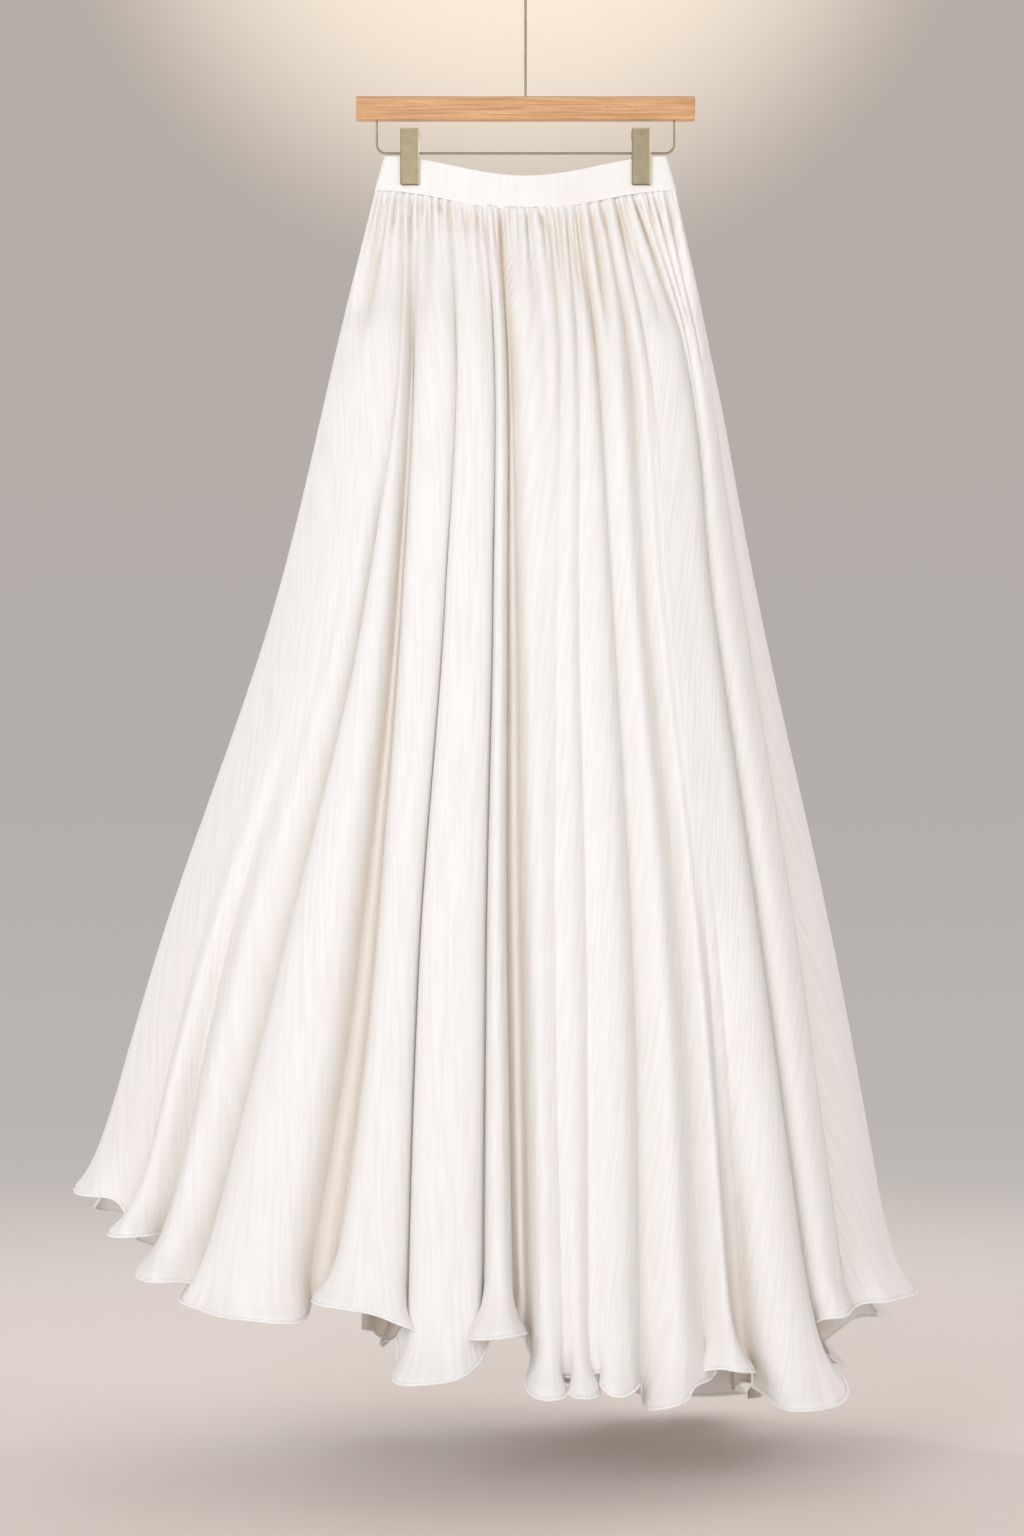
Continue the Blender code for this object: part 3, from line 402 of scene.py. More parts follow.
# %% A panel's drape
SLOPE_STEP = 2e-4
VALLEY_COLUMNS = 1.8         # columns are this much closer in the valleys
EVEN_COLUMNS_AT = 0.3
PLAIN_AT_SEAM = 0.012
TUCKED_INTO_BAND = 2.0       # the cloth's raw top edge goes up into the band by this much
DEEPEST_TUCK = 0.26          # share of the outline's depth
DEEPEST_GATHER = 8.0         # mm
PUFF = 2.4                   # the gathers stand out below the band by this much
PUFF_OPENS, PUFF_FADES = 9.0, 130.0


class Drape:
    def __init__(self, folds, pinches, creases, curls):
        self.folds, self.pinches, self.creases, self.curls = folds, pinches, creases, curls
        cloth = np.array([f.cloth for f in folds[:-1]], float)
        self.width = cloth.sum()
        self.edges = np.concatenate([[0.0], np.cumsum(cloth) / cloth.sum()])
        self.count = len(folds) - 1
        rows = np.array([f[1:] for f in folds], float)
        self.columns = dict(zip(Fold._fields[1:], rows.T))
        self.fine = np.linspace(0.0, 1.0, 4001)
        self.fine_seam = self.seam_share(self.fine)
        _, v = self.swell(self.fine)
        density = 1 + VALLEY_COLUMNS * np.exp(-(np.minimum(v, 1 - v) / 0.10) ** 2)
        total = np.concatenate([[0.0], np.cumsum((density[1:] + density[:-1]) / 2)])
        self.fine_density = total / total[-1]

    def between(self, values, i, v):
        """A fold line's value, blended from one line to the next."""
        return values[i] + (values[i + 1] - values[i]) * v

    def swell(self, u):
        """Which swell a share of the cloth is in, and how far across that swell."""
        i = np.clip(np.searchsorted(self.edges, u, side="right") - 1, 0, self.count - 1)
        return i, (u - self.edges[i]) / (self.edges[i + 1] - self.edges[i])

    def seam_share(self, u):
        """How far across the waist seam this cloth starts, from 0 to 1."""
        i, v = self.swell(u)
        waist = self.columns["waist"]
        angle = np.radians(self.between(waist, i, v))
        first, last = np.radians(waist[0]), np.radians(waist[-1])
        return (np.cos(first) - np.cos(angle)) / (np.cos(first) - np.cos(last))

    def spread_columns(self, share, t):
        """The cloth shares of evenly numbered columns: even along the seam, closer in valleys below."""
        at_seam = np.interp(share, self.fine_seam, self.fine)
        below = np.interp(share, self.fine_density, self.fine)
        slide = ease(t / EVEN_COLUMNS_AT)
        return at_seam * (1 - slide) + below * slide

    def heights(self, u, t):
        """Height of a point and how far it is below the seam and above the hem."""
        i, v = self.swell(u)
        valley, crest = self.columns["valley_hem"], self.columns["crest_hem"]
        angle = np.radians(self.between(self.columns["waist"], i, v))
        top = seam_height(-np.cos(angle)) + TUCKED_INTO_BAND
        middle = (valley[i] + valley[i + 1]) / 2
        drop = (crest[i] - middle) * swell_height(v, HEM_ROUNDNESS)
        hem = WAIST_REFERENCE_Z - self.between(valley, i, v) - drop
        z = top + (hem - top) * t
        near_hem = np.clip(1 - (z - hem) / (2 * CURL_HEIGHT), 0, 1) ** 2
        z = z - curl_shape(self.curls, u * self.width)[1] * near_hem
        return z, top - TUCKED_INTO_BAND - z, z - hem

    def folded(self, u, t):
        """The cloth with its large folds and flared hem, and the outline's outward direction.

        tucked says how deep in a fold a point lies, from 0 on a crest to 1."""
        z, below, above = self.heights(u, t)
        i, v = self.swell(u)
        table = self.columns
        angles, growths = [], []
        for f in self.folds:
            angles.append(smooth_curve(STATION_HEIGHTS, (f.hem, f.knee, f.thigh, f.hip, f.waist), z))
            growths.append(ease((below - f.start) / (FOLD_GROWTH + f.start)))
        pick = np.arange(u.size)
        angles, growths = np.array(angles), np.array(growths)
        a0, a1 = angles[i, pick], angles[i + 1, pick]
        g0, g1 = growths[i, pick], growths[i + 1, pick]
        angle, eased = a0 + (a1 - a0) * v, ease(v)
        x, y, normal = outline(angle, z)

        room = np.where(y < 0, station("front", z), station("back", z))
        roundness = table["round"][i]
        crest = swell_height(v, roundness)
        d0, d1 = table["tuck"][i] * g0, table["tuck"][i + 1] * g1
        inward = (d0 + (d1 - d0) * eased) * room
        recess = table["recess"][i] * np.minimum(g0, g1) * room
        bell = np.clip(1 - above / BELL_HEIGHT, 0, 1) ** 3
        turn = np.radians(angle)
        half = (station("right", z) - station("left", z)) / 2
        width = np.radians(a1 - a0) * np.hypot(half * np.sin(turn), room * np.cos(turn))
        steep = STEEPNESS * np.clip(1 - roundness, 0, 1) * np.minimum(g0, g1) * np.sin(2 * np.pi * v)
        spread = table["spread"][i] * bell * np.sin(2 * np.pi * v) * np.sin(np.pi * v)
        flare = BELL_FLARE + table["flare"][i] * np.sin(np.pi * v) ** 2
        out = bell * flare - inward * (1 - crest) - recess * crest
        side = table["lean"][i] * inward * crest - (steep + spread) * width
        x = x + normal[0] * out - normal[1] * side
        y = y + normal[1] * out + normal[0] * side
        tucked = (inward * (1 - crest) + recess * crest) / (DEEPEST_TUCK * room)
        return x, y, z, below, above, normal, tucked

    def point(self, u, t):
        """The finished drape, in millimetres, and how deep in a fold or gather each point lies."""
        x, y, z, below, above, outward, tucked = self.folded(u, t)
        xa, ya = self.folded(u - SLOPE_STEP, t)[:2]
        xb, yb = self.folded(u + SLOPE_STEP, t)[:2]
        length = np.hypot(xb - xa, yb - ya)
        nx, ny = (yb - ya) / length, (xa - xb) / length
        share = self.seam_share(u)
        at_side_seam = ease(share / PLAIN_AT_SEAM) * ease((1 - share) / PLAIN_AT_SEAM)
        gathered = pinch_depth(self.pinches, share, below) + crease_depth(self.creases, share, below)
        puffed = PUFF * ease(below / PUFF_OPENS) * ease((PUFF_FADES - below) / PUFF_FADES)
        inward = (gathered - puffed) * at_side_seam
        near_hem = np.clip(1 - above / CURL_HEIGHT, 0, 1) ** 2
        curled = curl_shape(self.curls, u * self.width)[0] * near_hem
        out = (ripple_out(u, above) + curled) * at_side_seam
        tucked = np.clip(tucked, 0, 1) ** 1.5 + np.clip(gathered / DEEPEST_GATHER, 0, 1) ** 1.5
        points = np.stack([x + nx * out - outward[0] * inward, y + ny * out - outward[1] * inward, z])
        return points, np.clip(tucked, 0, 1)


front_drape = Drape(FRONT_FOLDS, draw_pinches(11), FRONT_CREASES, FRONT_CURLS)
back_drape = Drape(BACK_FOLDS, draw_pinches(23), BACK_CREASES, BACK_CURLS)

# %% [markdown]
# ## Finishes
#
# Colours are written as sRGB hex values, as a colour picker shows them, and one function turns them to
# the linear numbers that shaders use. Another adds one node with its settings and links.

# %% Colour and node helpers
def linear(hex_colour):
    srgb = [int(hex_colour[k:k + 2], 16) / 255 for k in (0, 2, 4)]
    return (*[c / 12.92 if c <= 0.04045 else ((c + 0.055) / 1.055) ** 2.4 for c in srgb], 1.0)


def new_material(name):
    """A material with an empty node tree and its output."""
    made = bpy.data.materials.new(name)
    made.use_nodes = True
    made.node_tree.nodes.clear()
    return made, made.node_tree


def add_node(tree, kind, inputs=None, **settings):
    """One node, with its settings, and with values or links on its inputs."""
    made = tree.nodes.new(kind)
    for name, value in settings.items():
        setattr(made, name, value)
    for socket, value in (inputs or {}).items():
        if isinstance(value, bpy.types.NodeSocket):
            tree.links.new(value, made.inputs[socket])
        else:
            made.inputs[socket].default_value = value
    return made


# %% [markdown]
# ### Crepe
#
# The panels are silk or viscose crepe: fine yarns with a hard twist, which pull the weave into tiny
# pebbles and faint lengthwise crinkles. It is matt and lets a little light through. Deep in a fold or
# gather the light has passed through cloth several times and looks beige, which a render of a thin
# opaque shell misses, so each piece stores how deep its points are tucked, and the colour is mixed there
# towards a beige painted fold shade. The crinkle noise that raises the bump also darkens the cloth
# towards its low streaks: painted shade in the crinkle troughs. The pattern lies in the cloth's own UV
# map, in metres of flat cloth, so that it runs with the folds. A pebble is really about 0.4 mm; it is
# drawn at 1.1 mm so that it shows.

# %% Crepe
PEBBLE = 1.1 * MM
CRINKLE_WIDTH = 5.0 * MM
CRINKLE_LENGTH = 80.0 * MM
# Painted fold shade: the beige that the cloth is mixed towards deep in folds and gathers.
PAINTED_FOLD_SHADE = "EBE0D2"


def crepe(name, light_hex, trough_shade_hex, see_light, pebble=PEBBLE):
    made, tree = new_material(name)
    cloth = add_node(tree, "ShaderNodeUVMap", uv_map="cloth").outputs["UV"]
    stretched = add_node(
        tree, "ShaderNodeMapping",
        {"Vector": cloth, "Scale": (1 / CRINKLE_WIDTH, 1 / CRINKLE_LENGTH, 1.0)}).outputs["Vector"]
    crinkle = add_node(tree, "ShaderNodeTexNoise", {"Vector": stretched, "Scale": 1.0, "Detail": 2.0})
    pebbles = add_node(tree, "ShaderNodeTexNoise", {"Vector": cloth, "Scale": 1 / pebble, "Detail": 1.0})
    # The crinkle noise that raises the bump also darkens the cloth towards its low streaks: painted shade
    # in the crinkle troughs.
    streaks = add_node(
        tree, "ShaderNodeMapRange", {"Value": crinkle.outputs["Fac"], "From Min": 0.35, "From Max": 0.6})
    open_cloth = add_node(
        tree, "ShaderNodeMix",
        {"Factor": streaks.outputs["Result"], "A": linear(trough_shade_hex), "B": linear(light_hex)},
        data_type="RGBA")
    # How deep a point is tucked mixes the colour towards the painted fold shade.
    tucked = add_node(tree, "ShaderNodeAttribute", attribute_name="tucked").outputs["Fac"]
    colour = add_node(
        tree, "ShaderNodeMix",
        {"Factor": tucked, "A": open_cloth.outputs["Result"], "B": linear(PAINTED_FOLD_SHADE)}, data_type="RGBA")
    low = add_node(
        tree, "ShaderNodeBump",
        {"Strength": 0.7, "Distance": 1.0 * MM, "Height": crinkle.outputs["Fac"]}).outputs["Normal"]
    relief = add_node(
        tree, "ShaderNodeBump",
        {"Strength": 0.30, "Distance": 0.25 * MM, "Height": pebbles.outputs["Fac"], "Normal": low})
    front = add_node(tree, "ShaderNodeBsdfPrincipled", {
        "Base Color": colour.outputs["Result"], "Roughness": 0.72, "Specular IOR Level": 0.28,
        "Sheen Weight": 0.18, "Sheen Roughness": 0.45, "Normal": relief.outputs["Normal"]})
    through = add_node(
        tree, "ShaderNodeBsdfTranslucent",
        {"Color": colour.outputs["Result"], "Normal": relief.outputs["Normal"]})
    mixed = add_node(
        tree, "ShaderNodeMixShader", {0: see_light, 1: front.outputs[0], 2: through.outputs[0]})
    add_node(tree, "ShaderNodeOutputMaterial", {"Surface": mixed.outputs[0]})
    return made


skirt_crepe = crepe("ivory crepe", "FDFBF8", "F8F4EF", 0.12)
# The band is the same cloth with a slightly greyer base: painted shade that keeps it from rendering too
# bright under the lamps.
band_crepe = crepe("ivory crepe, two layers", "F6F3EF", "F4F0EC", 0.04)

# %% [markdown]
# ## The skirt's cloth
#
# Each panel starts as one flat grid, whose points then move to the drape. The grid keeps the cloth in
# clean rows and columns, and its UV map holds where each point lies in the flat cut. Rows are closer
# together in the gathers and in the flared hem. Solidify gives the cloth its thickness afterwards.

# %% Helpers for pieces
def link_piece(name, data, mat):
    """A piece of the object from its mesh or curve. It rides on the one body."""
    data.materials.append(mat)
    piece = bpy.data.objects.new(name, data)
    bpy.context.scene.collection.objects.link(piece)
    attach(piece, "root")
    return piece


def add_cloth(name, bm, mat):
    mesh = bpy.data.meshes.new(name)
    bm.to_mesh(mesh)
    bm.free()
    mesh.shade_smooth()
    return link_piece(name, mesh, mat)


def add_round(name, routes, diameter, mat, closed=False, taper=(), rounding=5):
    """Round wires, threads or beads along routes of points, in mm."""
    curve = bpy.data.curves.new(name, "CURVE")
    curve.dimensions = "3D"
    curve.bevel_depth = diameter / 2 * MM
    curve.bevel_resolution = rounding
    curve.use_fill_caps = True
    for route in routes:
        spline = curve.splines.new("POLY")
        spline.points.add(len(route) - 1)
        for point, place in zip(spline.points, route):
            point.co = (*(c * MM for c in place), 1.0)
        for point, radius in zip(reversed(spline.points), taper):
            point.radius = radius
        spline.use_cyclic_u = closed
        spline.use_smooth = True
    return link_piece(name, curve, mat)


def draped_grid(columns, rows, place, fine_rows=0):
    """A grid moved to its place. From shares, place gives points and flat cloth positions in mm, and
    how deep in a fold each point is, which sets the cloth's painted fold shade."""
    bm = bmesh.new()
    cloth_uv = bm.loops.layers.uv.new("cloth")
    tucked_in = bm.verts.layers.float.new("tucked")
    bmesh.ops.create_grid(bm, x_segments=columns, y_segments=rows, size=0.5)
    if fine_rows:
        lowest = 0.5 - (fine_rows + 0.5) / rows
        across_edges = [
            e for e in bm.edges
            if abs(e.verts[0].co.y - e.verts[1].co.y) < 1e-6 and e.verts[0].co.y > lowest]
        bmesh.ops.subdivide_edges(bm, edges=across_edges, cuts=1, use_grid_fill=True)
        bm.verts.index_update()
    across = np.array([v.co.x for v in bm.verts])
    down = np.array([-v.co.y for v in bm.verts])
    across = (across - across.min()) / (across.max() - across.min())
    down = (down - down.min()) / (down.max() - down.min())
    points, flat, tucked = place(across, down)
    for vert, point, depth in zip(bm.verts, points.T * MM, tucked):
        vert.co = point
        vert[tucked_in] = depth
    for face in bm.faces:
        for loop in face.loops:
            loop[cloth_uv].uv = flat[:, loop.vert.index] * MM
    return bm


# %% [markdown]
# A panel is cut flared: as wide at its top as the gathers need, and three times as wide at its hem.
# Both panels have their own folds but nearly the same cut, so one function builds them from a drape.

# %% Panels
PANEL_COLUMNS, PANEL_ROWS = 320, 104
FINE_ROWS = 40               # rows with twice the columns, for the gathers
CLOTH_WALL = 0.5             # in mm; real crepe is about 0.3
FLAT_LENGTH = 1170.0         # mm from the seam to the hem
GATHERED_WIDTH = 560.0       # mm of cloth that is gathered into the seam of one panel
ROW_POSITIONS = ((0.0, 0.0), (0.16, 0.04), (0.38, 0.26), (0.76, 0.88), (1.0, 1.0))


def row_share(down):
    """How far down the cloth each row is: rows are close at the gathers and at the hem."""
    at, share = zip(*ROW_POSITIONS)
    return np.interp(down, at, share)


def build_panel(name, drape, node):
    def place(across, down):
        t = row_share(down)
        u = drape.spread_columns(across, t)
        width = GATHERED_WIDTH + (drape.width - GATHERED_WIDTH) * t
        points, tucked = drape.point(u, t)
        return points, np.stack([(u - 0.5) * width, -t * FLAT_LENGTH]), tucked

    grid = draped_grid(PANEL_COLUMNS, PANEL_ROWS, place, FINE_ROWS)
    piece = add_cloth(name, grid, skirt_crepe)
    wall = piece.modifiers.new("thickness", "SOLIDIFY")
    wall.thickness = CLOTH_WALL * MM
    wall.offset = 0.0
    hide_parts(node)
    area = sum(f.area for f in piece.data.polygons)
    flat_area = (GATHERED_WIDTH + drape.width) / 2 * FLAT_LENGTH * MM * MM
    print(f"{name}: {area:.3f} m2 draped, {flat_area:.3f} m2 flat")
    return piece


front_panel = build_panel("front_panel", front_drape, "skirt_front")
back_panel = build_panel("back_panel", back_drape, "skirt_back")

# %% [markdown]
# ### The rolled hem
#
# The edge is rolled into a bead and sewn down, which makes it stiffer, brighter and a little wavy. A
# bevelled curve along the panels' last rows is the simplest way to make such a bead.

# %% Rolled hem
HEM_ROLL = 2.6               # mm, the bead's diameter
HEM_POINTS = 420             # along each panel
hem_finish = crepe("ivory crepe, rolled", "FDFBF8", "FAF7F2", 0.05)


def build_hem():
    share = np.linspace(0.0, 1.0, HEM_POINTS, endpoint=False)
    route = []
    for drape in (front_drape, back_drape):
        u = drape.spread_columns(share, np.ones_like(share))
        route.append(drape.point(u, np.ones_like(u))[0])
    route = np.concatenate(route, axis=1).T
    steps = np.linalg.norm(route - np.roll(route, 1, axis=0), axis=1)
    print(f"rolled hem: {steps.sum() * MM:.2f} m round")
    return add_round("rolled_hem", [route], HEM_ROLL, hem_finish, closed=True, rounding=2)


rolled_hem = build_hem()


# %% [markdown]
# ## The waistband
#
# The band is a strip of the same cloth, folded double over a stiffening and pressed flat, so its top
# edge is a smooth round fold. It is cut as a curved wall from a grid, given its two layers by Solidify
# and its pressed edges by a Bevel that works on sharp edges alone. Where the gathers are sewn in, its
# lower edge is drawn into tiny puckers. At the centre back the outer end laps over the inner one.

# %% Waistband
BUTTON_LAP = 12.0            # mm that each band end passes the centre back
LAP_RISE = (14.0, 2.0)       # the outer end rises between these distances beside the inner end
LAP_CLEARANCE = 0.3
BAND_ROWS = 18
BAND_COLUMNS_PER_DEGREE = 1.1
FLAT_TO_ROUND = 0.65         # the flat waist is this much shorter than a half circle as wide
PRESSED_EDGE = 0.7           # mm, the radius of the band's pressed edges
PUCKER_DEPTH, PUCKER_HEIGHT = 0.45, 7.0
BAND_WAVES = ((2.3, 0.5, 0.4), (5.1, 0.3, 2.0))   # periods along the band, size in mm, start


def waist_angle(x):
    """The angle, on the back, of a place that is x to the right of the middle."""
    return 360.0 - math.degrees(math.acos(-x / WAIST_HALF_WIDTH))


def band_point(angle, rise, pinches=()):
    """A point of the band's middle surface; rise runs from 0 at its seam to 1 at its top edge."""
    turn = np.radians(angle)
    across, around = -np.cos(turn), np.sin(turn)
    waist = STATIONS[0]
    half = WAIST_HALF_WIDTH + (BAND_TOP_HALF_WIDTH - WAIST_HALF_WIDTH) * rise
    depth = np.where(around > 0, waist.front, waist.back) - BAND_LEAN * rise
    away = from_long_axis(across, around, depth, waist.end_fold, waist.pinch)
    share = (1 + across) / 2
    flat_part = ease(6 * share) * ease(6 * (1 - share))
    waves = sum(size * np.sin(2 * np.pi * periods * share + begin) for periods, size, begin in BAND_WAVES)
    near_seam = np.clip(1 - rise * BAND_HEIGHT / PUCKER_HEIGHT, 0, 1)
    pucker = PUCKER_DEPTH / PINCH_DEPTHS[1] * pinch_depth(pinches, share, np.zeros_like(share))
    away = away + flat_part * (waves * ease(1 - np.abs(2 * rise - 1)) - pucker * near_seam)
    z = seam_height(across) + BAND_HEIGHT * rise
    return np.stack([half * across, -np.sign(around) * away, z])


def build_band(name, node, first, last, pinches, lapped=False):
    columns = round(abs(last - first) * BAND_COLUMNS_PER_DEGREE)
    length = math.pi * WAIST_HALF_WIDTH * abs(last - first) / 180 * FLAT_TO_ROUND

    def place(across, down):
        angle, rise = first + (last - first) * across, 1 - down
        points = band_point(angle, rise, pinches)
        if lapped:
            start, full = (waist_angle(-BUTTON_LAP - beside) for beside in LAP_RISE)
            points[1] += (BAND_WALL + LAP_CLEARANCE) * ease((angle - start) / (full - start))
        return points, np.stack([across * length, -down * BAND_HEIGHT]), np.zeros_like(across)

    piece = add_cloth(name, draped_grid(columns, BAND_ROWS, place), band_crepe)
    wall = piece.modifiers.new("two layers", "SOLIDIFY")
    wall.thickness = (BAND_WALL - 0.1) * MM
    wall.offset = 0.0
    edge = piece.modifiers.new("pressed edges", "BEVEL")
    edge.width = PRESSED_EDGE * MM
    edge.segments = 3
    edge.limit_method = "ANGLE"
    edge.angle_limit = math.radians(60)
    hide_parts(node)
    return piece


front_pinches, back_pinches = front_drape.pinches, back_drape.pinches
front_band = build_band("front_band", "waistband_front", 0.0, 180.0, front_pinches)
inner_end, outer_end = waist_angle(-BUTTON_LAP), waist_angle(BUTTON_LAP)
build_band("back_band_inner", "waistband_back_right", 180.0, inner_end, back_pinches)
build_band("back_band_outer", "waistband_back_left", outer_end, 360.0, back_pinches, lapped=True)

# %% [markdown]
# ## The button and its buttonhole
#
# A shell button is turned from a blank, so its pattern runs in soft curved layers under a polish. The
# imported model's button already has its rim and four holes. It gets that finish, two stitches of thread
# through its holes, and under it the bead of close stitches round a buttonhole.

# %% Thread, button and buttonhole
SHELL_LAYER = 2.2 * MM       # distance between the shell's layers
WAVES_PER_UNIT = 20          # a wave texture's bands at scale 1, as Blender draws them
THREAD = 0.55                # mm
STITCH_SPAN = 3.0            # mm between two holes
STITCH_SUNK, STITCH_RISE = 0.75, 0.35
STITCH_STEPS = 8
BUTTONHOLE_LENGTH, BUTTONHOLE_WIDTH, BUTTONHOLE_BEAD = 19.0, 2.6, 0.9
BUTTONHOLE_UNDER = 0.55      # mm from the button's back to the stitches
BUTTONHOLE_STEPS = 48


def shell_finish():
    made, tree = new_material("polished shell")
    place = add_node(tree, "ShaderNodeTexCoord").outputs["Object"]
    layers = add_node(tree, "ShaderNodeTexWave", {
        "Vector": place, "Scale": 1 / SHELL_LAYER / WAVES_PER_UNIT, "Distortion": 9.0, "Detail": 2.0,
        "Detail Scale": 1.5})
    colour = add_node(tree, "ShaderNodeMix", {
        "Factor": layers.outputs["Fac"], "A": linear("DCCFB8"), "B": linear("F2EADC")}, data_type="RGBA")
    body = add_node(tree, "ShaderNodeBsdfPrincipled", {
        "Base Color": colour.outputs["Result"], "Roughness": 0.22, "IOR": 1.55})
    add_node(tree, "ShaderNodeOutputMaterial", {"Surface": body.outputs[0]})
    return made


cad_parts["waist_button"].data.materials[0] = shell_finish()
button_low, button_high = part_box("waist_button")
button_middle = [(a + b) / 2 / MM for a, b in zip(button_low, button_high)]
thread_finish = crepe("cotton thread", "F7F2EA", "EFE8DC", 0.02, 0.5 * MM)

stitches = []
for side in (-1, 1):
    x = button_middle[0] + side * STITCH_SPAN / 2
    stitch = []
    for k in range(STITCH_STEPS + 1):
        share = k / STITCH_STEPS * 2 - 1
        y = button_high[1] / MM - STITCH_SUNK + STITCH_RISE * (1 - share ** 2)
        stitch.append((x, y, button_middle[2] + share * STITCH_SPAN / 2))
    stitches.append(stitch)
add_round("button_thread", stitches, THREAD, thread_finish)

rounded_slot = []
for k in range(BUTTONHOLE_STEPS):
    turn = 2 * math.pi * k / BUTTONHOLE_STEPS
    reach = BUTTONHOLE_LENGTH / 2 - BUTTONHOLE_WIDTH / 2
    x = math.copysign(reach, math.cos(turn)) + BUTTONHOLE_WIDTH / 2 * math.cos(turn)
    z = BUTTONHOLE_WIDTH / 2 * math.sin(turn)
    y = button_low[1] / MM - BUTTONHOLE_UNDER - z * BAND_LEAN / BAND_HEIGHT
    rounded_slot.append((x, y, button_middle[2] + z))
add_round("buttonhole", [rounded_slot], BUTTONHOLE_BEAD, thread_finish, closed=True)
print("button at", [round(c, 1) for c in button_middle])

# %% [markdown]
# ## The hanger's bar
#
# Beech is pale, close and straight in its grain, with short darker flecks where the rays are cut. The
# grain runs along the bar, so noise is stretched along X: narrow growth lines, broad bands that vary
# the tone, and flecks about 3 mm long. Oil gives it a soft gloss.

# %% Oiled beech
GRAIN_WIDTH, GRAIN_LENGTH = 1.5 * MM, 70 * MM
BAND_OF_TONE = (140 * MM, 9 * MM)
FLECK_WIDTH, FLECK_LENGTH = 0.45 * MM, 5 * MM


def stretched_noise(tree, place, length, width, detail, distortion=0.0):
    """Noise that is drawn out along X."""
    scaled = add_node(
        tree, "ShaderNodeMapping", {"Vector": place, "Scale": (1 / length, 1 / width, 1 / width)})
    noise = add_node(tree, "ShaderNodeTexNoise", {
        "Vector": scaled.outputs["Vector"], "Scale": 1.0, "Detail": detail, "Distortion": distortion})
    return noise.outputs["Fac"]


def beech_finish():
    made, tree = new_material("oiled beech")
    place = add_node(tree, "ShaderNodeTexCoord").outputs["Object"]
    grain = stretched_noise(tree, place, GRAIN_LENGTH, GRAIN_WIDTH, 4.0, 0.5)
    tone = stretched_noise(tree, place, *BAND_OF_TONE, 2.0)
    flecks = stretched_noise(tree, place, FLECK_LENGTH, FLECK_WIDTH, 1.0)
    lines = add_node(tree, "ShaderNodeMapRange", {"Value": grain, "From Min": 0.34, "From Max": 0.66})
    pale = add_node(tree, "ShaderNodeMix", {
        "Factor": tone, "A": linear("D6A371"), "B": linear("E8BC8C")}, data_type="RGBA")
    wood = add_node(tree, "ShaderNodeMix", {
        "Factor": lines.outputs["Result"], "A": linear("BE8855"), "B": pale.outputs["Result"]},
        data_type="RGBA")
    fleck_share = add_node(tree, "ShaderNodeMapRange", {
        "Value": flecks, "From Min": 0.62, "From Max": 0.72, "To Max": 0.55})
    flecked = add_node(tree, "ShaderNodeMix", {
        "Factor": fleck_share.outputs["Result"], "A": wood.outputs["Result"], "B": linear("9C683A")},
        data_type="RGBA")
    relief = add_node(tree, "ShaderNodeBump", {"Strength": 0.4, "Distance": 0.12 * MM, "Height": grain})
    body = add_node(tree, "ShaderNodeBsdfPrincipled", {
        "Base Color": flecked.outputs["Result"], "Roughness": 0.46, "IOR": 1.5,
        "Normal": relief.outputs["Normal"]})
    add_node(tree, "ShaderNodeOutputMaterial", {"Surface": body.outputs[0]})
    return made


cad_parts["hanger_bar"].data.materials[0] = beech_finish()

# %% [markdown]
# ## Antique brass
#
# The hook, the wire and the clips are steel with a brass plate that is darkened, then brushed to a
# satin. Brushing leaves fine lines along each piece, and the dark tone stays uneven. A metal's colour is
# its reflection, so the plate has full metallic and a brown-gold base, and only its roughness varies.

# %% Antique brass
BRUSH_WIDTH, BRUSH_LENGTH = 0.5 * MM, 24 * MM
PATINA = 9 * MM


def brass_finish(name, along):
    """Brushed plate whose lines run along one axis: 0 is X and 2 is Z."""
    made, tree = new_material(name)
    place = add_node(tree, "ShaderNodeTexCoord").outputs["Object"]
    scale = [1 / BRUSH_WIDTH] * 3
    scale[along] = 1 / BRUSH_LENGTH
    drawn = add_node(tree, "ShaderNodeMapping", {"Vector": place, "Scale": scale}).outputs["Vector"]
    brushed = add_node(
        tree, "ShaderNodeTexNoise", {"Vector": drawn, "Scale": 1.0, "Detail": 2.0}).outputs["Fac"]
    patina = add_node(tree, "ShaderNodeTexNoise", {"Vector": place, "Scale": 1 / PATINA, "Detail": 3.0})
    tone = add_node(tree, "ShaderNodeMix", {
        "Factor": patina.outputs["Fac"], "A": linear("8B7F66"), "B": linear("AC9F81")}, data_type="RGBA")
    roughness = add_node(tree, "ShaderNodeMapRange", {"Value": brushed, "To Min": 0.30, "To Max": 0.48})
    relief = add_node(tree, "ShaderNodeBump", {"Strength": 0.25, "Distance": 0.05 * MM, "Height": brushed})
    body = add_node(tree, "ShaderNodeBsdfPrincipled", {
        "Base Color": tone.outputs["Result"], "Metallic": 1.0, "Roughness": roughness.outputs["Result"],
        "Normal": relief.outputs["Normal"]})
    add_node(tree, "ShaderNodeOutputMaterial", {"Surface": body.outputs[0]})
    return made


upright_brass = brass_finish("antique brass plate, brushed upright", 2)
level_brass = brass_finish("antique brass plate, brushed along", 0)
for node in ("clip_left_front", "clip_left_back", "clip_right_front", "clip_right_back"):
    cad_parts[node].data.materials[0] = upright_brass

# %% [markdown]
# ## The hook and the clip wire
#
# Both are bent from one length of round wire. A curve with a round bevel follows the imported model's
# bends in finer steps, and the hook's free end is ground to a rounded tip, so that it doesn't snag.

